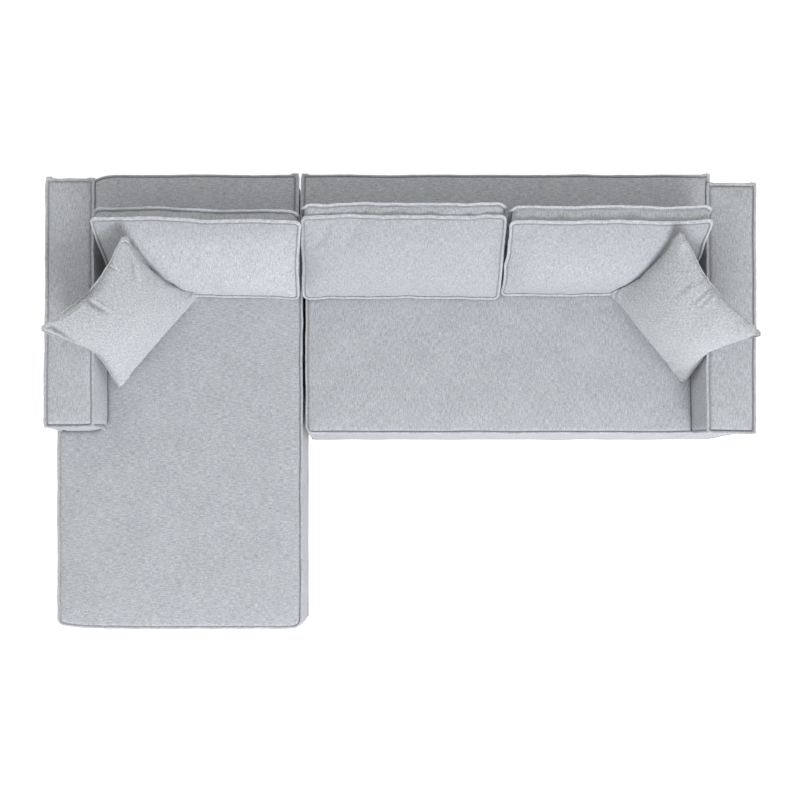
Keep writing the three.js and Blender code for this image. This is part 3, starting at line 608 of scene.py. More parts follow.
# Painted shade along the side panels' upright seams, and none at their foot.
slab_side_painted_shade = (0.7, 0.7, 0)
slab_top = {"puff": 0.0085, "shoulder": 0.012, "crown": 0.005, "roll": 0.07}
slab_side = {"puff": 0.009, "shoulder": 0.022, "crown": 0.0, "roll": 0.2, "drift": 0.0012}
slab_face = {"puff": 0.0025, "shoulder": 0.022, "crown": 0.0, "roll": 0.2, "drift": 0.0008}
slab_under = {"puff": 0.0, "shoulder": 0.02, "crown": 0.0, "roll": 0.2, "drift": 0.0}
slab_flange = 0.0135
slab_climb = 0.0045
slab_tip = 0.0005
upright_flange = 0.011
ear_round = 0.0065
ear_back = 0.004
ear_length = 0.03
ear_stoutness = 1.3
ear_full_share = 90
ear_tallest = 0.006
upright_step = 0.007
upright_aim = 0.17
corner_draw = 0.019
corner_start = 0.006
corner_reach = 0.085
corner_rise = 1.3
arm_taper = 0.011
arm_taper_most = 0.008
pressed_depth = 0.018
pressed_width = 0.08
pressed_length = 0.16
lean_depth = 0.004
lean_beside = 0.009
lean_length = 0.2
lean_width = 0.06
lean_fade = 0.12


def slab(name, body, along_x, seed, insets, widths, darks, uprights, shape=None, face=slab_side, base=0.0):
    """insets are for low x, high x, low y, high y; widths for the flange's front, right, rear, left.

    darks tell how much painted shade darkens the top seam at the front, right, rear and left, and
    base is painted light on the cloth between the seams: below 0 the cloth is painted paler.

    uprights are (corner, lowest z, ear, foot width, aim) from front left round to rear left. The ear
    is how far the top flange's folded corner sticks out in x and y, and aim is 0 for a flange that
    points to the front or rear and 1 for one that points to the side.
    """
    low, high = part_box(name + "_pad")
    x0, x1 = low.x + insets[0], high.x - insets[1]
    y0, y1 = low.y + insets[2], high.y - insets[3]
    z0, z1 = low.z, high.z - slab_top_drop - slab_root_drop
    lines_x, lines_y, lines_z = (grid_lines(size) for size in (x1 - x0, y1 - y0, z1 - z0))
    bend = shape or (lambda points: points)
    cover = Panels()
    front, right, rear, left = darks
    upright = (0, 0, 1)
    for corner, across, up, lines, form, warp_up, seams in (
            ((x0, y0, z1), (1, 0, 0), (0, 1, 0), (lines_x, lines_y), slab_top, not along_x,
             (left, right, front, rear)),
            ((x0, y0, z0), (1, 0, 0), upright, (lines_x, lines_z), face, True, (*slab_side_painted_shade, front)),
            ((x1, y1, z0), (-1, 0, 0), upright, (lines_x, lines_z), slab_side, True, (*slab_side_painted_shade, rear)),
            ((x1, y0, z0), (0, 1, 0), upright, (lines_y, lines_z), slab_side, True, (*slab_side_painted_shade, right)),
            ((x0, y1, z0), (0, -1, 0), upright, (lines_y, lines_z), slab_side, True, (*slab_side_painted_shade, left))):
        seed += 1
        panel(cover, corner, across, up, lines, form, warp_up, seed, seams, base)
    panel(cover, (x1, y0, z0), (-1, 0, 0), (0, 1, 0), (lines_x, lines_y), slab_under, True, seed + 1)
    cover.points = [bend(points) for points in cover.points]
    piece = cover.make(name, cover_fabric)
    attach(piece, body)
    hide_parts(name + "_pad")
    trim = Panels()
    seams = []
    corners = [(x0, y0, z1), (x1, y0, z1), (x1, y1, z1), (x0, y1, z1)]
    front, right, rear, left = widths
    path, reach, sides = corner_path(corners, [(0, -front, 0), (right, 0, 0), (0, rear, 0), (-left, 0, 0)])
    up = np.repeat([[0.0, 0.0, 1.0]], len(path), 0)
    stout = np.ones(len(path))
    for k, lowest, ear, foot, aim in uprights:
        spot = np.array(corners[k]) - [(ear_back if corners[k][0] == x1 else -ear_back), 0, 0]
        bump = np.exp(-(np.linalg.norm(path - spot, axis=1) / ear_round) ** 2)
        reach = reach + bump[:, None] * np.array([*ear, 0.0])
        stout = stout + bump * ear_stoutness * min(1, ear_full_share * math.hypot(*ear))
    path = wobble(bend(path))
    flange(trim, path, reach, up, True, slab_climb, slab_tip, seed, stout, np.array(darks)[sides])
    seams += [(line, True) for line in seam_lines(path, reach, up, slab_climb, slab_tip)]
    for k, lowest, ear, foot, aim in uprights:
        x, y = corners[k][:2]
        side, face = (1 if x == x1 else -1), (1 if y == y1 else -1)
        edge = straight((x, y, z1 + ear_tallest), (x, y, max(lowest, z0 + 0.01)), upright_step)
        fallen = z1 - edge[:, 2]
        top, bottom = np.exp(-np.maximum(fallen, 0) / ear_length), fallen / max(fallen[-1], 0.01)
        tall = min(ear_tallest, math.hypot(*ear))
        width = upright_flange + tall * top ** 2 + (foot - upright_flange) * bottom ** 2
        aside, ahead = math.sin(aim * math.pi / 2), math.cos(aim * math.pi / 2)
        out = np.array([aside * side, ahead * face, 0.0])
        beside = np.repeat([[ahead * side, -aside * face, 0.0]], len(edge), 0)
        edge = wobble(bend(edge))
        reach = out * width[:, None]
        flange(trim, edge, reach, beside, False, 0.001, 0, seed + 7 + k, 1.0, 0.6)
        seams += [(line, False) for line in seam_lines(edge, reach, beside, 0.001, 0)]
    lip = trim.make(name + "_flange", cover_fabric, wobbled=False)
    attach(lip, body)
    stitches(name + "_stitches", seams, body)
    return piece


def fading(distance, reach):
    """1 at a place, and less and less until it is 0 at the reach."""
    return np.clip(1 - distance / reach, 0, 1)


def drawn_corner(points):
    """The rear left corner of the chaise back is drawn in at the top, beside the arm."""
    points = np.array(points, float)
    low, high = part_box("chaise_back_pad")
    near = fading(points[:, 0] - low.x - corner_start, corner_reach) ** 2
    near *= np.clip((points[:, 2] - seat_level) / (high.z - seat_level) * corner_rise, 0, 1)
    points[:, 1] -= corner_draw * near * np.clip((points[:, 1] - low.y) / (high.y - low.y), 0, 1)
    return points


def pressed_foot(points):
    """The seat presses the left arm's inner front corner back, and its outer side runs in a little."""
    points = np.array(points, float)
    low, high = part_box("left_arm_pad")
    outer = np.clip((high.x - points[:, 0]) / (high.x - low.x), 0, 1)
    rear = np.clip((points[:, 1] - low.y) / (high.y - low.y), 0, 1)
    points[:, 0] += np.minimum(arm_taper * rear, arm_taper_most) * outer
    beside = fading(high.x - points[:, 0], pressed_width) ** 2
    front = fading(points[:, 1] - low.y, pressed_length)
    foot = np.clip((high.z - points[:, 2]) / (high.z - seat_level), 0, 1)
    points[:, 1] += pressed_depth * beside * front * foot
    return points


def leaning_front(points):
    """The right arm's front runs back from its top seam to the seat, most beside the seat's edge."""
    points = np.array(points, float)
    low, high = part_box("right_arm_pad")
    front = fading(points[:, 1] - low.y, lean_length)
    beside = fading(points[:, 0] - low.x, lean_width) ** 2
    foot = np.clip((high.z - points[:, 2]) / (high.z - seat_level), 0, 1)
    free = np.clip(1 + (points[:, 2] - seat_level) / lean_fade, 0, 1)
    points[:, 1] += (lean_depth + lean_beside * beside * free) * front * foot
    return points


seat_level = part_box("chaise_seat_pad")[1].z
# The darks below are painted shade in the top seams, and the left arm's base of -0.5 paints its cloth paler
# all over as painted light.
left_arm = slab(
    "left_arm", "chaise_module", along_x=False, seed=11,
    insets=(0.009, 0.009, 0.006, 0.009), widths=(slab_flange, slab_flange, slab_flange, slab_flange),
    darks=(1.0, 0.5, 0.5, 0.5), shape=pressed_foot, face=slab_side, base=-0.5,
    uprights=[(0, seat_level, (0, 0), 0.012, upright_aim), (1, seat_level, (0, 0), 0.026, upright_aim),
              (2, 0, (0.011, 0.008), upright_flange, upright_aim),
              (3, 0, (0.005, 0.012), upright_flange, upright_aim)])
right_arm = slab(
    "right_arm", "sofa_module", along_x=False, seed=23,
    insets=(0.009, 0.012, 0.001, 0.009), widths=(0.0155, slab_flange, slab_flange, slab_flange),
    darks=(1.2, 1.7, 0.5, 0.45), shape=leaning_front, face=slab_face,
    uprights=[(0, seat_level, (0, 0), upright_flange, upright_aim), (1, 0, (0, 0), 0.009, 0.9),
              (2, 0, (0.002, 0.005), upright_flange, upright_aim),
              (3, 0, (0, 0.004), upright_flange, upright_aim)])
chaise_back = slab(
    "chaise_back", "chaise_module", along_x=True, seed=37,
    insets=(0.006, 0.012, 0.009, 0.005), widths=(slab_flange, 0.0178, 0.009, 0.003),
    darks=(0.8, 0.9, 1.2, 0.5), shape=drawn_corner,
    uprights=[(1, seat_level, (0, 0), 0.014, upright_aim),
              (2, 0, (-0.002, 0.009), upright_flange, upright_aim)])
sofa_back = slab(
    "sofa_back", "sofa_module", along_x=True, seed=51,
    insets=(0.012, 0.005, 0.009, 0.005), widths=(slab_flange, 0.0165, 0.009, 0.0168),
    darks=(0.8, 0.7, 1.2, 0.8),
    uprights=[(0, seat_level, (0, 0), 0.014, upright_aim),
              (2, 0.5, (0.003, 0.008), upright_flange, upright_aim),
              (3, 0, (0.002, 0.009), upright_flange, upright_aim)])


# The seats: a wide foam deck over zigzag springs, its cover tucked in against arm and back, with a
# flanged seam where the top meets the border that goes round the open sides of the box.
seat_inset = 0.008
seat_dip = 0.0078
seat_crown = 0.009
seat_roll = 0.15
seat_shoulder = 0.012
tuck_depth = 0.018
tuck_round = 0.022
seat_climb = 0.0035
seat_tip = -0.001
border_puff = 0.008
border_under = 0.005
deck_step_in = 0.005
foot_corner = 0.003
chaise_corners = (0.020, 0.026)
sofa_corner = 0.024
# Painted shade in the creases at the seats' rounded corners: how far it reaches and how dark it is.
corner_shade_reach = 0.022
corner_painted_shade = 1.3
wing_spread = 0.012
front_spread = 0.007
sofa_under = 0.010
edge_draws = (0.018, 0.007)
edge_reaches = (0.22, 0.12)
edge_depth = 0.25
tongue_reach = 0.05
tongue_shift = (0.010, 0.022)
border_shoulder = 0.02
border_spread = 0.05
border_hem = 0.012
border_foot = 0.08
border_thickness = 0.003
wing_overlap = 0.014
sofa_overlap = 0.008
chaise_flange = 0.012
sofa_flange = 0.0105
nowhere = (9.0, 9.0)
seat_top_z = seat_level - seat_crown


def seat_lines(marks):
    """Lines through the marks, closer together beside each of them."""
    spans = [low + grid_lines(high - low) for low, high in zip(marks, marks[1:])]
    return np.unique(np.round(np.concatenate(spans), 6))


def edge_run(x, y, edge):
    """Distance from a straight edge of the plan and place along it. edge is (start, end)."""
    (ax, ay), (bx, by) = edge
    length = math.hypot(bx - ax, by - ay)
    along = np.clip(((x - ax) * (bx - ax) + (y - ay) * (by - ay)) / length, 0, length)
    nearest_x = ax + (bx - ax) * along / length
    nearest_y = ay + (by - ay) * along / length
    return np.hypot(x - nearest_x, y - nearest_y), along


def seat_height(x, y, flanged, tucked, full_corner, seed):
    """Height of a seat's cover above its seams."""
    near = np.full_like(x, 9.0)
    pucker = np.zeros_like(x)
    for k, edge in enumerate(flanged + tucked):
        distance, along = edge_run(x, y, edge)
        near = np.minimum(near, distance)
        if edge in flanged:
            pucker += np.exp(-distance / pucker_reach) * waves_1d(along, seed + k)
    dip = np.zeros_like(x)
    for edge in flanged:
        dip = np.maximum(dip, seat_dip * (1 - round_edge(edge_run(x, y, edge)[0], seat_shoulder)))
    full = np.hypot(x - full_corner[0], y - full_corner[1])
    for edge in tucked:
        distance = edge_run(x, y, edge)[0]
        roll = np.clip(1 - distance / tuck_round, 0, 1) * np.clip(full / 0.03, 0.2, 1)
        dip = np.maximum(dip, tuck_depth * (1 - np.sqrt(1 - roll * roll * 0.99)))
    crown = seat_crown * rise(near, seat_roll)
    broad = 0.0012 * waves_2d(x, y, seed + 77, 0.3, 0.8) * rise(near, seat_roll)
    return seat_top_z - dip + crown + broad + pucker_height * pucker * rise(near, seat_shoulder)


def rounded_plan(x, y, corners):
    """Moves the grid points of a plan so that each of the given corners gets its radius."""
    for corner_x, corner_y, side_x, side_y, radius in corners:
        u = np.clip(1 - (x - corner_x) * side_x / radius, 0, 1)
        v = np.clip(1 - (y - corner_y) * side_y / radius, 0, 1)
        inside = (u > 0) & (v > 0)
        x = np.where(inside, corner_x + side_x * radius * (1 - u * np.sqrt(1 - v * v / 2)), x)
        y = np.where(inside, corner_y + side_y * radius * (1 - v * np.sqrt(1 - u * u / 2)), y)
    return x, y


def unbent(points):
    return points


def drawn_edge(points):
    """The front edge of the chaise is drawn back beside its corners, more at the left one."""
    points = np.array(points, float)
    left = fading(points[:, 0] - wing_x, edge_reaches[0]) ** 2
    right = fading(right_x - points[:, 0], edge_reaches[1]) ** 2
    front = fading(points[:, 1] - front_y, edge_depth)
    height = np.clip(points[:, 2] / seat_level, 0, 1)
    points[:, 1] += (edge_draws[0] * left + edge_draws[1] * right) * front * height
    return points


def seat_deck(name, body, xs, ys, inside, flanged, darks, tucked, full_corner, corners, bottom_z,
              warp_up, seed, bend=unbent):
    """The padded deck over the plan cells that inside(x, y) accepts at their middles.

    darks tell how much painted shade darkens the seam along each flanged edge, and below 0 how much
    painted highlight pales it. The cover isn't tucked at full_corner.
    """
    x, y = np.meshgrid(xs, ys, indexing="ij")
    height = seat_height(x, y, flanged, tucked, full_corner, seed)
    kept = inside((x[:-1, :-1] + x[1:, 1:]) / 2, (y[:-1, :-1] + y[1:, 1:]) / 2)
    painted_corner_shade = np.zeros_like(x)
    for corner_x, corner_y, *_ in corners:
        painted_corner_shade += corner_painted_shade * np.exp(-(np.hypot(x - corner_x, y - corner_y) / corner_shade_reach) ** 2)
    x, y = rounded_plan(x, y, corners)
    reach = fading(np.hypot(x - full_corner[0], y - full_corner[1]), tongue_reach) ** 1.5
    x, y = x - tongue_shift[0] * reach, y + tongue_shift[1] * reach
    top = np.stack([x, y, height], -1)
    x, y = np.meshgrid(xs, ys, indexing="ij")
    low_x = np.clip(x, xs[0] + deck_step_in, xs[-1] - deck_step_in)
    under = np.stack([low_x, np.maximum(y, ys[0] + deck_step_in), np.full_like(x, bottom_z)], -1)
    cloth = np.stack([x, y] if warp_up else [y, x], -1)
    # Painted light along the flanged seams: painted shade, or painted highlight where darks are below 0,
    # with painted shade gathered at the corners.
    seam = np.sum([painted_seam_shade(edge_run(top[..., 0], top[..., 1], edge)[0]) * (dark + painted_corner_shade)
                   for edge, dark in zip(flanged, darks)], axis=0)
    columns = len(ys)
    index = np.arange(len(xs) * columns).reshape(len(xs), columns)
    size = index.size
    quads = grid_quads(index)[kept]
    edges = {}
    for a, b, c, d in quads.tolist():
        for pair in ((a, b), (b, c), (c, d), (d, a)):
            if (pair[1], pair[0]) in edges:
                del edges[(pair[1], pair[0])]
            else:
                edges[pair] = True
    walls = np.array([(b, a, a + size, b + size) for a, b in edges])
    faces = np.concatenate([quads, quads[:, ::-1] + size, walls])
    used = np.zeros(2 * size, bool)
    used[quads.ravel()] = True
    used[quads.ravel() + size] = True
    deck = Panels()
    deck.points = [bend(np.concatenate([top.reshape(-1, 3), under.reshape(-1, 3)])[used])]
    deck.maps = [np.concatenate([cloth.reshape(-1, 2), cloth.reshape(-1, 2)])[used]]
    deck.shades = [np.concatenate([seam.ravel(), np.zeros(size)])[used]]
    deck.faces = [(np.cumsum(used) - 1)[faces]]
    piece = deck.make(name, cover_fabric)
    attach(piece, body)
    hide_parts(name + "_pad")
    return piece


def rounded(corners, radii, step=0.009, turns=8):
    """A plan line with its inner corners rounded, and the direction out of it on its right side.

    It has the same number of points whatever the radii.
    """
    points = [np.array(corners[0], float)]
    counts = [round(math.dist(a, b) / step) for a, b in zip(corners, corners[1:])]
    for before, here, after, count, radius in zip(corners, corners[1:], corners[2:], counts, radii):
        before, here, after = (np.array(p, float) for p in (before, here, after))
        back = (before - here) / np.linalg.norm(before - here)
        on = (after - here) / np.linalg.norm(after - here)
        centre = here + (back + on) * radius
        first, last = here + back * radius, here + on * radius
        points.extend(np.linspace(points[-1], first, count + 1)[1:])
        for k in range(1, turns + 1):
            turn = math.pi / 2 * k / turns
            points.append(centre + (first - centre) * math.cos(turn) + (last - centre) * math.sin(turn))
    points.extend(np.linspace(points[-1], corners[-1], counts[-1] + 1)[1:])
    points = np.array(points)
    ahead = np.gradient(points, axis=0)
    ahead /= np.linalg.norm(ahead, axis=1, keepdims=True)
    return points, np.stack([ahead[:, 1], -ahead[:, 0]], -1)


def border(name, body, corners, darks, radii, replaced, bottom_z, width, under, seed, bend=unbent):
    """The side panels of a seat box, their flange at the top seam, and its stitches.

    under is how far the panels stand out at the foot.
    """
    plan, out = rounded(corners, radii)
    foot_plan, foot_out = rounded(corners, (foot_corner, foot_corner))
    sides = [edge_run(plan[:, 0], plan[:, 1], side)[0] for side in zip(corners, corners[1:])]
    # Painted shade along the top seam, side by side, more at the rounded corners, and painted highlight
    # where darks are below 0.
    dark = np.array(darks)[np.argmin(sides, axis=0)]
    dark = np.convolve(np.pad(dark, 4, "edge"), np.full(9, 1 / 9), "valid")
    for corner in corners[1:len(radii) + 1]:
        dark += corner_painted_shade * np.exp(-(np.linalg.norm(plan - corner, axis=1) / corner_shade_reach) ** 2)
    along = np.concatenate([[0], np.cumsum(np.linalg.norm(np.diff(plan, axis=0), axis=1))])
    root_z = seat_top_z - seat_dip
    heights = grid_lines(root_z - bottom_z)
    lift = border_puff * round_edge(root_z - bottom_z - heights, border_shoulder)
    low_reach = border_spread if under > border_puff else border_hem
    lift += (under - border_puff) * (1 - round_edge(heights, low_reach))
    outer, inner = [], []
    for height, puff in zip(heights, lift):
        uneven = puff * (1 + 0.12 * waves_1d(along + height, seed, 0.12, 0.4))
        share = np.clip((heights[-1] - height) / border_foot, 0, 1) ** 0.7
        line = plan + (foot_plan - plan) * share
        away = out + (foot_out - out) * share
        away /= np.linalg.norm(away, axis=1, keepdims=True)
        level = np.full(len(plan), bottom_z + height)
        outer.append(np.column_stack([line + away * uneven[:, None], level]))
        inner.insert(0, np.column_stack([line - away * border_thickness, level]))
    ring = np.stack(outer + inner + outer[:1], axis=1)
    ring = bend(ring.reshape(-1, 3)).reshape(ring.shape)
    run = np.concatenate([heights, heights[-1] + 0.004 + heights, [2 * heights[-1] + 0.008]])
    cloth = np.stack(np.meshgrid(along, run, indexing="ij"), -1) + seed * 0.41
    panels = Panels()
    fade = painted_seam_shade(heights[-1] - heights)
    panels.add_grid(ring, cloth, shade=np.concatenate([fade, np.zeros_like(fade), fade[:1]]) * dark[:, None])
    for end, flipped in ((ring[0, :-1], True), (ring[-1, :-1], False)):
        half = len(heights)
        strip = np.stack([end[:half], end[:half - 1:-1]], axis=1)
        panels.add_grid(strip, np.zeros(strip.shape[:2] + (2,)), flip=not flipped)
    piece = panels.make(name + "_border", cover_fabric)
    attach(piece, body)
    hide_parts(*replaced)
    path = wobble(bend(np.column_stack([plan, np.full(len(plan), root_z)])))
    reach = np.column_stack([out, np.zeros(len(out))]) * width
    up = np.repeat([[0.0, 0.0, 1.0]], len(path), 0)
    trim = Panels()
    flange(trim, path, reach, up, False, seat_climb, seat_tip, seed, 1.0, dark)
    lip = trim.make(name + "_flange", cover_fabric, wobbled=False)
    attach(lip, body)
    seams = [(line, False) for line in seam_lines(path, reach, up, seat_climb, seat_tip)]
    stitches(name + "_stitches", seams, body)


chaise_low, chaise_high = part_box("chaise_front_panel")
arm_front_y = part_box("left_arm_pad")[0].y
arm_inner_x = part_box("left_arm_pad")[1].x
deck_rear_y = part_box("chaise_seat_pad")[1].y
deck_bottom_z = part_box("chaise_seat_pad")[0].z
panel_bottom_z = chaise_low.z
wing_x = chaise_low.x + seat_inset - wing_spread
right_x = chaise_high.x - seat_inset
front_y = chaise_low.y + seat_inset - front_spread
# Painted light at the chaise's seams at its left, front and right: paler as painted highlight at left and
# front, darker as painted shade at right.
chaise_painted_seams = (-0.9, -0.5, 1.0)
chaise_xs = seat_lines([wing_x, arm_inner_x + 0.0003, right_x])
chaise_ys = seat_lines([front_y, arm_front_y - 0.0003, deck_rear_y])
wing_rear = (wing_x, arm_front_y)
wing_front = (wing_x, front_y)
chaise_front = (right_x, front_y)
chaise_rear = (right_x, deck_rear_y)
arm_rear = (arm_inner_x, deck_rear_y)
arm_front = (arm_inner_x, arm_front_y)
seat_deck(
    "chaise_seat", "chaise_module", chaise_xs, chaise_ys,
    inside=lambda x, y: (x > arm_inner_x) | (y < arm_front_y),
    flanged=[(wing_rear, wing_front), (wing_front, chaise_front), (chaise_front, chaise_rear)],
    darks=chaise_painted_seams,
    tucked=[(chaise_rear, arm_rear), (arm_rear, arm_front), (arm_front, wing_rear)],
    full_corner=arm_front,
    corners=[(*wing_front, 1, 1, chaise_corners[0]), (*chaise_front, -1, 1, chaise_corners[1])],
    bottom_z=deck_bottom_z, warp_up=False, seed=71, bend=drawn_edge)
border(
    "chaise_seat", "chaise_module",
    corners=[(wing_x, arm_front_y + wing_overlap), wing_front, chaise_front, chaise_rear],
    darks=chaise_painted_seams, radii=chaise_corners,
    replaced=["chaise_front_panel", "chaise_right_panel", "chaise_wing_panel"],
    bottom_z=panel_bottom_z, width=chaise_flange, under=border_under, seed=83, bend=drawn_edge)

sofa_low, sofa_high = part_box("sofa_front_panel")
# Painted shade at the sofa seat's seams at its left and front.
sofa_painted_seams = (0.6, 1.0)
sofa_left_x = sofa_low.x + seat_inset + 0.002
sofa_right_x = sofa_high.x
sofa_front_y = sofa_low.y + seat_inset
sofa_left_rear = (sofa_left_x, deck_rear_y)
sofa_left_front = (sofa_left_x, sofa_front_y)
sofa_right_front = (sofa_right_x, sofa_front_y)
sofa_right_rear = (sofa_right_x, deck_rear_y)
seat_deck(
    "sofa_seat", "sofa_module", seat_lines([sofa_left_x, sofa_right_x]),
    seat_lines([sofa_front_y, deck_rear_y]), inside=lambda x, y: x > sofa_left_x,
    flanged=[(sofa_left_rear, sofa_left_front), (sofa_left_front, sofa_right_front)], darks=sofa_painted_seams,
    tucked=[(sofa_right_front, sofa_right_rear), (sofa_right_rear, sofa_left_rear)],
    full_corner=nowhere, corners=[(*sofa_left_front, 1, 1, sofa_corner)],
    bottom_z=deck_bottom_z, warp_up=True, seed=97)
border(
    "sofa_seat", "sofa_module",
    corners=[sofa_left_rear, sofa_left_front, (sofa_right_x + sofa_overlap, sofa_front_y)],
    darks=sofa_painted_seams, radii=(sofa_corner,), replaced=["sofa_front_panel", "sofa_left_panel"],
    bottom_z=panel_bottom_z, width=sofa_flange, under=sofa_under, seed=103)


# The back cushions: boxed covers over soft filling, leaning back 30 degrees and settled on their
# bottom band. A face panel in front and one behind are joined by a band, and each face seam has a
# self flange in the face's plane. The filling presses the panels out between the fixed seams.
cushion_top = 0.403
cushion_front_crown = 0.042
cushion_rear_crown = 0.03
cushion_side_draw = 0.003
cushion_top_draw = 0.002
cushion_inset = 0.006
front_corners = (0.016, 0.014)
rear_corners = (0.02, 0.026)
corner_pinch = 0.006
cushion_flange = 0.0135
cushion_climb = 0.0034
cushion_tips = {-1: (-0.0065, -0.011), 1: (0.002, 0.002)}
left_cushion_edges = (-1.187, -0.411, -1.169, -0.378)
middle_cushion_edges = (-0.401, 0.415, -0.380, 0.401)
right_cushion_edges = (0.413, 1.190, 0.406, 1.169)
crown_power = 0.7
stuffing_pressure = 3.0
stuffing_frames = 12
stuffing_cap = 0.014
band_cap = 0.003
lean_gap = 0.012
rest_gap = 0.0006
cushion_foot = 0.004
band_layers = [0.0, 0.1, 0.26, 0.42, 0.58, 0.74, 0.9, 1.0]
cover_waves = (((0.18, 0.4), 0.0012, 8), ((0.07, 0.14), 0.00035, 8))
cloth_quality = 6
cloth_mass = 0.3
cloth_shear = 8
settle_sight = 0.09
under_share = 1.2
under_rise = 0.12
under_short = 0.3


def rim_of(index):
    """The point numbers round the edge of a grid, as one loop."""
    return np.concatenate([index[:, 0], index[-1, 1:], index[-2::-1, -1], index[0, -2:0:-1]])


def round_corners(x, z, half_x, half_z, radius):
    """Moves the points of a rectangle's grid so that its corners get that radius."""
    over_x = np.clip((np.abs(x) - (half_x - radius)) / radius, 0, 1)
    over_z = np.clip((np.abs(z) - (half_z - radius)) / radius, 0, 1)
    new_x = over_x * np.sqrt(1 - over_z ** 2 / 2)
    new_z = over_z * np.sqrt(1 - over_x ** 2 / 2)
    x = np.where(over_x > 0, np.sign(x) * (half_x - radius + radius * new_x), x)
    z = np.where(over_z > 0, np.sign(z) * (half_z - radius + radius * new_z), z)
    return x, z


def edge_shares(size, coarse=0.0125):
    """Places from -1 to 1 across a face, closer together near its edges."""
    edge = np.array([0, 0.004, 0.009, 0.015, 0.022, 0.03, 0.04])
    middle = np.linspace(edge[-1], size - edge[-1], round((size - 2 * edge[-1]) / coarse) + 1)
    return np.unique(np.round(np.concatenate([edge, middle, size - edge]) / size, 6)) * 2 - 1


def boxed_cushion(edges, band, drop, lift, taper, belly, seed):
    """Points, faces and cloth map of a boxed cushion, with its front and rear seams as index loops.

    edges are the places of its sides from its middle: bottom left and right, top left and right. The
    rear seam is higher at the top by lift and nearer to the front by taper, and belly is the share
    by which the filling has sunk in the face.
    """
    low_left, low_right, high_left, high_right = edges
    width = (low_right - low_left + high_right - high_left) / 2
    a, b = np.meshgrid(edge_shares(width), edge_shares(cushion_top), indexing="ij")
    columns, rows = a.shape
    size = columns * rows
    swell = ((1 - a ** 4) * (1 - b ** 2)) ** crown_power
    sunk = 1 - belly * b
    half_x = width / 2

    def outline(share):
        bottom = cushion_foot - drop * (1 - share)
        half_z = (cushion_top + lift * share - bottom) / 2
        radii = [front + (rear - front) * share for front, rear in zip(front_corners, rear_corners)]
        x, z = round_corners(a * half_x, b * half_z, half_x, half_z, np.where(b > 0, radii[1], radii[0]))
        x = x - a * cushion_side_draw * (1 - b ** 2)
        z = z - b * cushion_top_draw * (1 - a ** 2)
        t = (z / half_z + 1) / 2
        left = low_left + (high_left - low_left) * t
        right = low_right + (high_right - low_right) * t
        x = (left + right) / 2 + x / half_x * (right - left) / 2
        pinch = corner_pinch * share * np.abs(a) ** 24 * np.clip(b, 0, 1) ** 12
        y = -cushion_inset - band * (1 - share) - pinch - taper * share * np.clip(b, 0, 1) ** 3
        return x, y, bottom + half_z + z

    index = np.arange(size).reshape(columns, rows)
    rim = rim_of(index)
    front_quads = grid_quads(index).reshape(-1, 4)
    rear_quads = front_quads[:, ::-1] + size
    points, maps = [], []
    for share, sign, crown in ((0.0, -1, cushion_front_crown), (1.0, 1, cushion_rear_crown)):
        x, y, z = outline(share)
        points.append(np.stack([x, y + sign * crown * swell * sunk, z], -1).reshape(-1, 3))
        flat = np.stack([x, z], -1).reshape(-1, 2) + seed * 0.37 + share
        maps.append(flat[front_quads] if share == 0 else flat[front_quads[:, ::-1]])
    faces = [front_quads, rear_quads]
    ring = points[0][rim]
    around = np.concatenate([[0], np.cumsum(np.linalg.norm(np.roll(ring, -1, 0) - ring, axis=1))])
    loops = [rim]
    count = 2 * size
    for share in band_layers[1:-1]:
        points.append(np.stack(outline(share), -1).reshape(-1, 3)[rim])
        loops.append(count + np.arange(len(rim)))
        count += len(rim)
    loops.append(rim + size)
    for first, second, near, far in zip(loops, loops[1:], band_layers, band_layers[1:]):
        faces.append(np.stack([first, second, np.roll(second, -1), np.roll(first, -1)], -1))
        near, far = np.full(len(rim), near * band), np.full(len(rim), far * band)
        here, on = around[:-1], around[1:]
        maps.append(np.stack([np.stack([here, near], -1), np.stack([here, far], -1),
                              np.stack([on, far], -1), np.stack([on, near], -1)], 1) + seed * 0.7)
    points = np.concatenate(points)
    rng = np.random.default_rng(seed)
    shift = np.zeros_like(points)
    for size_range, height, tries in cover_waves:
        for _ in range(tries):
            wave = rng.normal(size=3)
            wave *= 2 * np.pi / rng.uniform(*size_range) / np.linalg.norm(wave)
            shift += height * rng.normal(size=3) * np.sin(points @ wave + rng.uniform(0, 7))[:, None]
    return points + shift, np.concatenate(faces), np.concatenate(maps), rim, rim + size


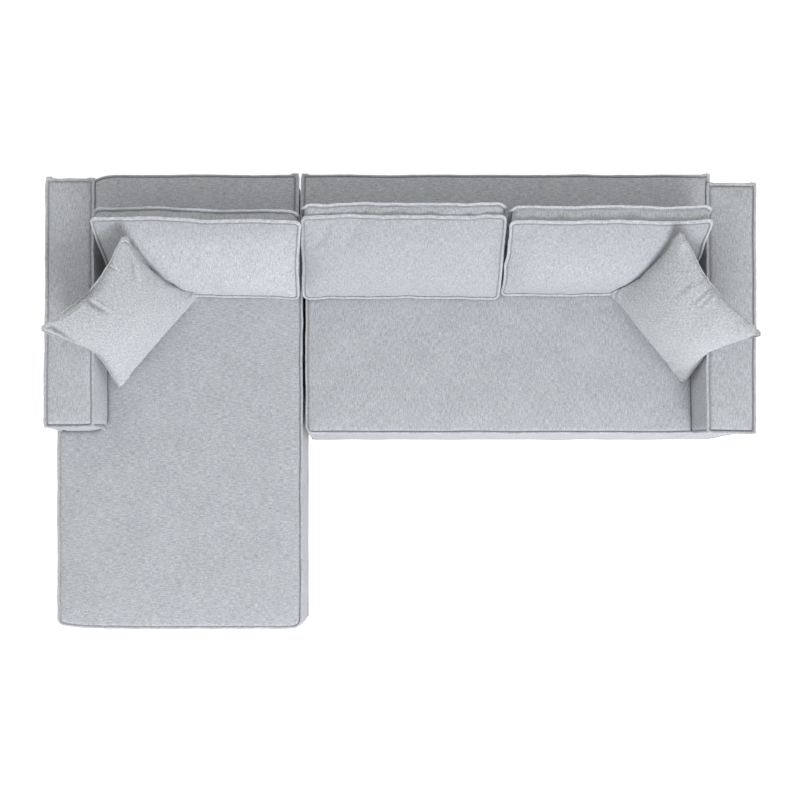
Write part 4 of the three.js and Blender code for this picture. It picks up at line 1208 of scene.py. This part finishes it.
def stuff(points, faces, pressure, frames, cap, tension, bending, shrink=0.0, pinned=()):
    """Fills a closed cover with Blender's cloth pressure and returns its points."""
    mesh = bpy.data.meshes.new("stuffing")
    mesh.from_pydata(points.tolist(), [], faces.tolist())
    cover = added("stuffing", mesh)
    cloth = cover.modifiers.new("stuffing", "CLOTH")
    cloth.settings.quality = cloth_quality
    cloth.settings.mass = cloth_mass
    cloth.settings.tension_stiffness = tension
    cloth.settings.compression_stiffness = tension
    cloth.settings.shear_stiffness = cloth_shear
    cloth.settings.bending_stiffness = bending
    cloth.settings.use_pressure = True
    cloth.settings.uniform_pressure_force = pressure
    cloth.settings.effector_weights.gravity = 0
    cloth.settings.shrink_min = shrink
    cloth.collision_settings.use_collision = False
    if len(pinned):
        held = cover.vertex_groups.new(name="held")
        held.add([int(k) for k in pinned], 1.0, "REPLACE")
        cloth.settings.vertex_group_mass = "held"
    cloth.point_cache.frame_start = 1
    cloth.point_cache.frame_end = frames
    for step in range(1, frames + 1):
        bpy.context.scene.frame_set(step)
    shown = cover.evaluated_get(bpy.context.evaluated_depsgraph_get())
    moved = np.empty(len(points) * 3, np.float32)
    shown.data.vertices.foreach_get("co", moved)
    bpy.data.objects.remove(cover)
    bpy.context.scene.frame_set(1)
    shift = moved.reshape(-1, 3).astype(float) - points
    far = np.linalg.norm(shift, axis=1, keepdims=True)
    return points + shift * np.minimum(1, cap / np.maximum(far, 1e-9))


def neighbours(faces, count):
    pairs = np.concatenate([np.stack([faces[:, k], faces[:, (k + 1) % 4]], -1) for k in range(4)])
    pairs = np.concatenate([pairs, pairs[:, ::-1]])
    share = np.zeros(count)
    np.add.at(share, pairs[:, 0], 1)
    return pairs, share[:, None]


def shared(values, links):
    pairs, share = links
    total = np.zeros_like(values)
    np.add.at(total, pairs[:, 0], values[pairs[:, 1]])
    return total / share


def tree_of(*pieces):
    trees = []
    for piece in pieces:
        points = [vertex.co for vertex in piece.data.vertices]
        trees.append(BVHTree.FromPolygons(points, [face.vertices for face in piece.data.polygons]))
    return trees


def settle(points, faces, carriers, rounds=12, blend=0.5):
    """Presses a soft piece clear of what carries it. carriers are (tree, gap) pairs."""
    links = neighbours(faces, len(points))
    shift = np.zeros_like(points)
    for _ in range(rounds):
        shift = shift * (1 - blend) + shared(shift, links) * blend
        placed = points + shift
        for tree, gap in carriers:
            for k, spot in enumerate(placed):
                near = tree.find_nearest(spot, settle_sight)
                if near[0] is None:
                    continue
                depth = (Vector(spot) - near[0]).dot(near[1])
                if depth < gap:
                    placed[k] = np.array(near[0] + near[1] * gap)
        shift = placed - points
    return points + shift


def smooth_piece(name, points, faces, maps, seams, material, dark, shades, levels=1, place=None):
    """A mesh with its cloth map, subdivided with its seams kept sharp, and made plain.

    place is kept as an attribute of the points for a later step.
    """
    mesh = bpy.data.meshes.new(name)
    mesh.from_pydata(points.tolist(), [], faces.tolist())
    layer = mesh.uv_layers.new(name="cloth")
    layer.data.foreach_set("uv", np.asarray(maps, np.float32).ravel())
    sharp = {frozenset(pair) for loop in seams for pair in zip(loop.tolist(), np.roll(loop, -1).tolist())}
    crease = mesh.attributes.new("crease_edge", "FLOAT", "EDGE")
    crease.data.foreach_set("value", [float(frozenset(edge.vertices) in sharp) for edge in mesh.edges])
    # Painted light over the piece, with painted shade of strength dark along its seams.
    values = np.array(shades, np.float32)
    values[np.concatenate(seams)] = dark
    shade = mesh.attributes.new("shade", "FLOAT", "POINT")
    shade.data.foreach_set("value", values)
    if place is not None:
        places = mesh.attributes.new("place", "FLOAT_VECTOR", "POINT")
        places.data.foreach_set("vector", place.astype(np.float32).ravel())
    piece = added(name, mesh)
    finer = piece.modifiers.new("finer", "SUBSURF")
    finer.levels = finer.render_levels = levels
    made = bpy.data.meshes.new_from_object(piece.evaluated_get(bpy.context.evaluated_depsgraph_get()))
    piece.modifiers.clear()
    made.name = name
    piece.data = made
    made.attributes.remove(made.attributes["crease_edge"])
    made.polygons.foreach_set("use_smooth", [True] * len(made.polygons))
    made.materials.append(material)
    return piece


def lean_back(foot, lean, level):
    """The place of a piece's foot, and its across, through and up directions."""
    across = np.array([level[1], -level[0], 0.0])
    level = np.array([level[0], level[1], 0.0])
    upright = np.array([0.0, 0.0, 1.0])
    through = level * math.cos(lean) - upright * math.sin(lean)
    up = level * math.sin(lean) + upright * math.cos(lean)
    return np.array(foot), np.array([across, through, up])


def loop_outward(line, plane):
    """Outward directions in the face's plane along a closed seam."""
    ahead = np.roll(line, -1, 0) - np.roll(line, 1, 0)
    ahead /= np.linalg.norm(ahead, axis=1, keepdims=True)
    out = np.cross(ahead, plane)
    for _ in range(2):
        out = (np.roll(out, 1, 0) + 2 * out + np.roll(out, -1, 0)) / 4
    return out / np.linalg.norm(out, axis=1, keepdims=True)


def back_cushion(name, foot_from_rear, lean, yaw, edges, band, fill, painted_gradient, carriers, seed):
    """One cushion with its flanges and stitches.

    fill holds the rear seam's lift and taper and the belly's share. The painted light on its face is
    given at the bottom, in the middle and at the top: painted shade above 0, painted highlight below 0.
    """
    low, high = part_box(name)
    middle = (low.x + high.x) / 2
    inner = [edge - middle + side * cushion_flange for edge, side in zip(edges, (1, -1, 1, -1))]
    drop = band * math.tan(lean) - 0.003
    points, faces, maps, front, rear = boxed_cushion(inner, band, drop, *fill, seed)
    size = rear[0] - front[0]
    # Painted light on the face: painted shade that grows towards the top, and painted highlight low down
    # where the value is below 0.
    shades = np.interp(points[:, 2] / cushion_top, (0, 0.5, 1), painted_gradient)
    shades = np.where(np.arange(len(points)) < size, shades, 0)
    caps = np.where(np.arange(len(points)) < 2 * size, stuffing_cap, band_cap)[:, None]
    points = stuff(points, faces, stuffing_pressure, stuffing_frames, caps, 40, 1.5, -0.01,
                   np.concatenate([front, rear]))
    foot, axes = lean_back((middle, rear_plane_y - foot_from_rear, seat_level + rest_gap), lean,
                           (-math.sin(yaw), math.cos(yaw)))
    points = settle(foot + points @ axes, faces, carriers)
    piece = smooth_piece(name + "_cover", points, faces, maps, (front, rear), cover_fabric, 0.8, shades)
    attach(piece, name)
    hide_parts(name)
    trim = Panels()
    seams = []
    for rim, sign in ((front, -1), (rear, 1)):
        line = points[rim if sign < 0 else rim[::-1]]
        out = loop_outward(line, axes[1] * sign)
        ahead = np.array([axes[1][0], axes[1][1], 0.0]) / math.cos(lean)
        under = np.clip(-out[:, 2:] * under_share, 0, 1)
        out = out * (1 - under) + (ahead * sign + (0, 0, under_rise)) * under
        out /= np.linalg.norm(out, axis=1, keepdims=True)
        beside = axes[1] * sign * (1 - under) + np.array([0.0, 0.0, 1.0]) * under
        beside /= np.linalg.norm(beside, axis=1, keepdims=True)
        reach = out * cushion_flange * (1 - under_short * under)
        tip, top_tip = cushion_tips[sign]
        tip = tip + (top_tip - tip) * np.clip(out[:, 2] * under_share, 0, 1)
        flange(trim, line, reach, beside, True, cushion_climb, tip, seed + sign)
        seams += [(row, True) for row in seam_lines(line, reach, beside, cushion_climb, tip)]
    lip = trim.make(name + "_flange", cover_fabric, wobbled=False)
    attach(lip, name)
    stitches(name + "_stitches", seams, name)
    return piece


rear_plane_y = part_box("chaise_back_pad")[1].y
chaise_tree, sofa_tree, chaise_back_tree, sofa_back_tree, left_arm_tree, right_arm_tree = tree_of(
    bpy.data.objects["chaise_seat"], bpy.data.objects["sofa_seat"],
    chaise_back, sofa_back, left_arm, right_arm)
left_cushion = back_cushion(
    "left_back_cushion", foot_from_rear=0.369, lean=math.radians(27.5), yaw=math.radians(-1.2),
    edges=left_cushion_edges, band=0.054, fill=(0.004, 0.006, 0.45), painted_gradient=(-1.0, -0.45, 0.40),
    carriers=[(chaise_back_tree, lean_gap), (chaise_tree, rest_gap)], seed=131)
back_cushion(
    "middle_back_cushion", foot_from_rear=0.364, lean=math.radians(30), yaw=0.0,
    edges=middle_cushion_edges, band=0.064, fill=(0.027, 0.026, 0.3), painted_gradient=(0.08, 0.25, 0.33),
    carriers=[(sofa_back_tree, lean_gap), (sofa_tree, rest_gap)], seed=139)
right_cushion = back_cushion(
    "right_back_cushion", foot_from_rear=0.348, lean=math.radians(25), yaw=math.radians(0.4),
    edges=right_cushion_edges, band=0.070, fill=(0.020, 0.016, 0.35), painted_gradient=(0.08, 0.12, 0.42),
    carriers=[(sofa_back_tree, lean_gap), (sofa_tree, rest_gap)], seed=151)


# The throw pillows: two squares sewn knife-edged at the rim and loosely filled, standing on their
# bottom edge across the corners of the sofa, against the arm and a back cushion. Cloth pressure
# fills them, with the corners held, and then the folds that the photograph shows are laid in.
pillow_size = 0.48
pillow_front = 0.090
pillow_rear = 0.045
pillow_dome = 0.75
pillow_draw = 0.016
pillow_corner = 0.012
pillow_turn = math.radians(50)
pillow_cells = 48
pillow_start = 0.045
pillow_slack = -0.04
pillow_frames = 10
pillow_cap = 0.06
pillow_gap = 0.004
pillow_lip = 0.0035
pillow_waves = 0.0011
# How dark the painted shade in the pillows' fold grooves is.
crease_painted_shade = 0.9
left_folds = [
    ([(0.86, 0.96), (0.93, 0.91), (0.98, 0.82)], 0.0050, 0.0050),
    ([(0.44, 1.00), (0.46, 0.93), (0.48, 0.80)], 0.0050, 0.0050),
    ([(0.56, 0.99), (0.52, 0.88)], 0.0045, 0.0045),
    ([(0.24, 0.84), (0.17, 0.94), (0.05, 0.97), (-0.06, 0.94)], 0.0040, 0.0065),
    ([(-0.08, 1.00), (-0.15, 0.91), (-0.18, 0.76), (-0.14, 0.54)], 0.0140, 0.0085),
    ([(-0.33, 0.99), (-0.22, 0.88)], 0.0060, 0.0055),
    ([(-0.30, 0.965), (-0.60, 0.975), (-0.78, 0.985)], 0.0035, 0.0035),
    ([(-0.26, 0.925), (-0.48, 0.930), (-0.72, 0.955)], 0.0040, 0.0038),
    ([(-0.24, 0.870), (-0.45, 0.880), (-0.68, 0.920)], 0.0038, 0.0040),
    ([(-0.87, 0.50), (-0.86, 0.71), (-0.86, 0.85), (-0.89, 0.98)], 0.0100, 0.0100),
    ([(-0.96, -0.74), (-0.88, -0.88), (-0.79, -0.99)], 0.0050, 0.0045),
    ([(0.02, -1.00), (0.06, -0.80)], 0.0040, 0.0070),
    ([(0.99, 0.24), (0.92, 0.13)], 0.0045, 0.0060), ([(0.99, 0.12), (0.91, 0.02)], 0.0040, 0.0055),
    ([(0.99, -0.02), (0.92, -0.12)], 0.0040, 0.0060), ([(-0.99, -0.16), (-0.90, -0.23)], 0.0035, 0.0065),
    ([(-0.99, -0.36), (-0.91, -0.42)], 0.0035, 0.0065), ([(0.80, 0.70), (0.55, 0.48)], 0.0030, 0.0120)]
left_notches = [
    (-0.10, 1.0, 0.016, 0.020), (0.55, 1.0, 0.004, 0.02), (-1.0, 0.15, 0.005, 0.03), (1.0, 0.2, 0.006, 0.02),
    (0.1, 1.0, 0.010, 0.11), (-1.0, -0.1, 0.011, 0.09)]
right_folds = [
    ([(-0.02, 1.00), (-0.03, 0.86), (-0.01, 0.60)], 0.0042, 0.0085),
    ([(0.03, 0.97), (0.05, 0.83), (0.09, 0.62)], 0.0042, 0.0080),
    ([(-0.21, 0.98), (-0.22, 0.80)], 0.0028, 0.0075), ([(-0.28, 0.75), (-0.26, 0.50)], 0.0025, 0.0100),
    ([(0.86, 0.99), (0.93, 0.93), (0.985, 0.85)], 0.0060, 0.0060),
    ([(0.99, 0.36), (0.86, 0.33)], 0.0045, 0.0085),
    ([(0.80, -0.96), (0.77, -0.72)], 0.0035, 0.0110), ([(0.55, -0.92), (0.60, -0.64)], 0.0030, 0.0110),
    ([(-0.96, -0.55), (-0.74, -0.92)], 0.0030, 0.0090)]
right_notches = [
    (1.0, 0.0, 0.007, 0.035), (-0.2, 1.0, 0.004, 0.03), (0.35, 1.0, -0.005, 0.05), (1.0, 0.05, 0.008, 0.10)]
left_shifts = [(0.005, -0.004), (0.022, 0.004), (-0.004, -0.008), (-0.005, 0.013)]
right_shifts = [(-0.011, 0.027), (0.0, 0.0), (0.015, 0.0), (0.026, 0.010)]


def pillow_cover(seed):
    """A square bag: points, faces and cloth map, its rim as an index loop, and its corners."""
    cells = pillow_cells
    lines = np.sin(np.linspace(-1, 1, cells + 1) * 1.2) / math.sin(1.2)
    a, b = np.meshgrid(lines, lines, indexing="ij")
    index = np.arange((cells + 1) ** 2).reshape(cells + 1, cells + 1)
    rim = rim_of(index)
    on_rim = np.zeros(index.size, bool)
    on_rim[rim] = True
    thick = pillow_start * ((1 - a * a) * (1 - b * b)) ** crown_power
    rng = np.random.default_rng(seed)
    rough = np.zeros_like(a)
    for _ in range(12):
        turn, size = rng.uniform(0, 2 * np.pi), rng.uniform(0.08, 0.2)
        along = (a * np.cos(turn) + b * np.sin(turn)) * np.pi * pillow_size / size
        rough += np.sin(along + rng.uniform(0, 7))
    rough *= 0.00012
    half = pillow_size / 2
    x, z = round_corners(a * half, b * half, half, half, pillow_corner)
    x, z = x - a * pillow_draw * (1 - b * b), z - b * pillow_draw * (1 - a * a)
    front = np.stack([x, -thick + rough, z], -1).reshape(-1, 3)
    rear = np.stack([x, thick + rough, z], -1).reshape(-1, 3)
    other = np.where(on_rim, np.arange(index.size), 0)
    other[~on_rim] = index.size + np.arange((~on_rim).sum())
    quads = grid_quads(index).reshape(-1, 4)
    faces = np.concatenate([quads, other[quads][:, ::-1]])
    points = np.concatenate([front, rear[~on_rim]])
    flat = np.stack([a, b], -1).reshape(-1, 2) * half + 0.5 + seed * 0.31
    maps = np.concatenate([flat[quads], flat[quads[:, ::-1]] + 0.9])
    shares = np.stack([a, b], -1).reshape(-1, 2)
    shares = np.concatenate([shares, shares[~on_rim]])
    corners = [index[0, 0], index[-1, 0], index[-1, -1], index[0, -1]]
    shares = np.column_stack([shares, np.repeat([1.0, -1.0], [index.size, (~on_rim).sum()])])
    shares[rim, 2] = 0
    return points, faces, maps, rim, corners, shares


def pull_rim(points, shares, notches):
    """Small pulls in the rim, each at a place of it with a depth and a width."""
    half = pillow_size / 2
    for a, b, depth, width in notches:
        away = np.linalg.norm((shares[:, :2] - (a, b)) * half, axis=1)
        pull = depth * np.exp(-(away / width) ** 2)
        points[:, 0] -= pull * (abs(a) == 1) * np.sign(a)
        points[:, 2] -= pull * (abs(b) == 1) * np.sign(b)
    return points


def lay_folds(piece, through, folds, seed):
    """Grooves along lines of the front panel, each with a ridge on its left, and soft waves.

    The cloth is painted darker in a groove as painted shade and a little paler on its ridge as painted
    highlight.
    """
    mesh = piece.data
    spots = np.empty(len(mesh.vertices) * 3, np.float32)
    places = np.empty(len(mesh.vertices) * 3, np.float32)
    mesh.vertices.foreach_get("co", spots)
    mesh.attributes["place"].data.foreach_get("vector", places)
    spots, places = spots.reshape(-1, 3).astype(float), places.reshape(-1, 3).astype(float)
    where = places[:, :2] * pillow_size / 2
    rim = 1 - np.max(np.abs(places[:, :2]), axis=1)
    front = np.clip(places[:, 2], 0, 1) * np.clip(rim / 0.04, 0.3, 1)
    press = pillow_waves * waves_2d(where[:, 0], where[:, 1], seed, 0.05, 0.14)
    shade = mesh.attributes["shade"]
    shades = np.empty(len(mesh.vertices), np.float32)
    shade.data.foreach_get("value", shades)
    for line, depth, width in folds:
        line = np.array(line) * pillow_size / 2
        nearest = np.full(len(where), 9.0)
        sideways, along = np.zeros(len(where)), np.zeros(len(where))
        for k, (start, end) in enumerate(zip(line, line[1:])):
            run = end - start
            share = np.clip((where - start) @ run / (run @ run), 0, 1)
            away = where - start - share[:, None] * run
            distance = np.linalg.norm(away, axis=1)
            closer = distance < nearest
            nearest = np.where(closer, distance, nearest)
            sign = np.sign(run[0] * away[:, 1] - run[1] * away[:, 0])
            sideways = np.where(closer, distance * sign, sideways)
            along = np.where(closer, (k + share) / (len(line) - 1), along)
        fade = np.sin(np.pi * (0.1 + 0.8 * along)) ** 0.7
        ridge = np.exp(-((sideways - 1.7 * width) / width) ** 2) * (nearest < 5 * width)
        press += depth * fade * (np.exp(-(nearest / width) ** 2) - 0.6 * ridge)
        crease = np.exp(-(nearest / width / 0.6) ** 2) - 0.5 * ridge
        shades += crease_painted_shade * min(1, depth / 0.006) * fade * crease * (places[:, 2] > 0)
    spots += (press * front)[:, None] * through
    mesh.vertices.foreach_set("co", spots.astype(np.float32).ravel())
    shade.data.foreach_set("value", shades.astype(np.float32))
    mesh.attributes.remove(mesh.attributes["place"])
    mesh.update()


def throw_pillow(name, side, place, lean, folds, notches, shifts, painted_gradient, carriers, seed):
    """One pillow. shifts move its corners in plan: bottom left and right, top right and left."""
    points, faces, maps, rim, corners, shares = pillow_cover(seed)
    points = stuff(
        points, faces, stuffing_pressure, pillow_frames, pillow_cap, 60, 1.0, pillow_slack, corners)
    front, rear = -points[:, 1].min(), points[:, 1].max()
    facing = np.where(points[:, 1] < 0, -1, 1)
    dome = (1 - shares[:, 0] ** 2) ** 0.8
    dome = dome * (1 - shares[:, 1] ** 2) ** (0.8 + 0.5 * np.clip(shares[:, 1], 0, 1)) * facing
    full = np.where(facing < 0, points[:, 1] / front, points[:, 1] / rear)
    points[:, 1] = (full + (dome - full) * pillow_dome) * np.where(facing < 0, pillow_front, pillow_rear)
    points = pull_rim(points, shares, notches)
    points[:, 2] += pillow_size / 2
    foot, axes = lean_back((*place, seat_level + rest_gap), lean,
                           (side * math.sin(pillow_turn), math.cos(pillow_turn)))
    points = foot + points @ axes
    for (a, b), shift in zip(((-1, -1), (1, -1), (1, 1), (-1, 1)), shifts):
        share = (1 + a * shares[:, 0]) * (1 + b * shares[:, 1]) / 4
        points[:, :2] += share[:, None] * np.array(shift)
    points = settle(points, faces, carriers)
    # Painted light on the front panel: paler towards the bottom edge as painted highlight, and darker
    # towards the top as painted shade on the left pillow.
    shades = np.interp(shares[:, 1], (-1, 0, 1), painted_gradient) * np.clip(shares[:, 2], 0, 1)
    piece = smooth_piece(name + "_cover", points, faces, maps, (rim,), pillow_fabric, 0.3, shades, 2, shares)
    lay_folds(piece, axes[1], folds, seed)
    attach(piece, name)
    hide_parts(name)
    line = points[rim]
    reach = loop_outward(line, -axes[1]) * pillow_lip
    trim = Panels()
    flange(trim, line, reach, np.repeat([-axes[1]], len(line), 0), True, 0, 0, seed)
    lip = trim.make(name + "_seam", pillow_fabric, wobbled=False)
    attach(lip, name)


left_arm_box, right_arm_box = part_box("left_arm_pad"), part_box("right_arm_pad")
left_cushion_tree, right_cushion_tree = tree_of(left_cushion, right_cushion)
throw_pillow(
    "left_throw_pillow", side=-1, place=(left_arm_box[1].x + 0.212, rear_plane_y - 0.626),
    lean=math.radians(30), folds=left_folds, notches=left_notches, shifts=left_shifts,
    painted_gradient=(-1.0, 0.05, 0.25), seed=211,
    carriers=[(left_cushion_tree, pillow_gap), (left_arm_tree, lean_gap), (chaise_tree, rest_gap)])
throw_pillow(
    "right_throw_pillow", side=1, place=(right_arm_box[0].x - 0.200, rear_plane_y - 0.612),
    lean=math.radians(25), folds=right_folds, notches=right_notches, shifts=right_shifts,
    painted_gradient=(-0.35, 0.0, 0.0), seed=223,
    carriers=[(right_cushion_tree, pillow_gap), (right_arm_tree, lean_gap), (sofa_tree, rest_gap)])


# The seat boxes and what hides in them: pine rails and sills, zinc-plated bolts, zigzag springs and
# connectors, moulded feet and black dust covers. The CAD solids stay and take these finishes.
def planed_pine(name):
    material, wire = new_material(name)
    place = wire.own_place()
    rings = wire.noise(place, (0.012, 0.012, 0.012), 3.0, 1.2)
    grain = wire.noise(place, (0.25, 0.25, 0.006), 3.0, 0.4)
    pores = wire.noise(place, (0.03, 0.03, 0.0012), 2.0)
    tone = ((rings - 0.5) * 0.8 + (grain - 0.5) * 1.6 + (pores - 0.5) * 0.6 + 0.5).kept()
    colour = tone.mix((0.36, 0.215, 0.11, 1), (0.62, 0.44, 0.26, 1))
    rough = (pores - 0.5) * 0.2 + 0.62
    put_skin(wire, colour, rough, wire.bump(0.3, 0.0006, tone))
    return material


def plated_steel(name, colour, dull):
    material, wire = new_material(name)
    place = wire.own_place()
    cloud = wire.noise(place, (0.02, 0.02, 0.02), 3.0)
    scratch = wire.noise(place, (0.001, 0.02, 0.02), 2.0, 0.3)
    tone = ((cloud - 0.5) * 0.6 + (scratch - 0.5) * 0.5 + 0.5).kept()
    shade = tone.mix(tuple(0.7 * part for part in colour) + (1,), colour + (1,))
    rough = (cloud - 0.5) * 0.3 + (scratch - 0.5) * 0.2 + dull
    put_skin(wire, shade, rough, wire.bump(0.15, 0.0003, scratch), {"Metallic": 1.0})
    return material


def moulded_plastic(name):
    material, wire = new_material(name)
    place = wire.own_place()
    pebble = wire.noise(place, (0.0008, 0.0008, 0.0008), 1.0)
    dust = wire.noise(place, (0.015, 0.015, 0.03), 3.0)
    colour = ((dust - 0.4) * 1.6).kept().mix((0.012, 0.012, 0.013, 1), (0.035, 0.034, 0.033, 1))
    put_skin(wire, colour, dust * 0.3 + 0.4, wire.bump(0.35, 0.0002, pebble))
    return material


def bonded_lining(name):
    material, wire = new_material(name)
    place = wire.own_place()
    fibres = wire.noise(place, (0.0015, 0.0025, 0.002), 3.0, 1.5)
    settings = {"feature": "DISTANCE_TO_EDGE"}
    cells = wire.node("ShaderNodeTexVoronoi", settings, {"Vector": place, "Scale": 320.0})
    dents = (cells * 4.0).kept()
    colour = (fibres * 0.7 + dents * 0.3).kept().mix((0.008, 0.008, 0.009, 1), (0.04, 0.04, 0.042, 1))
    put_skin(wire, colour, 0.9, wire.bump(0.5, 0.0003, dents + fibres))
    return material


pine = planed_pine("planed pine")
zinc = plated_steel("zinc plate", (0.62, 0.64, 0.66), 0.38)
spring_steel = plated_steel("spring steel", (0.30, 0.30, 0.31), 0.42)
black_plastic = moulded_plastic("black plastic")
dust_cloth = bonded_lining("black bonded lining")

for name, node in nodes.items():
    if name.endswith("_rail") or name.endswith("_frame"):
        finish = pine
    elif name.endswith("_springs"):
        finish = spring_steel
    elif "_bolt_" in name or name.startswith("connector_"):
        finish = zinc
    elif "_foot_" in name:
        finish = black_plastic
    elif name.endswith("_dust_cover"):
        finish = dust_cloth
    else:
        continue
    for place in range(len(node.material_slots)):
        node.material_slots[place].material = finish
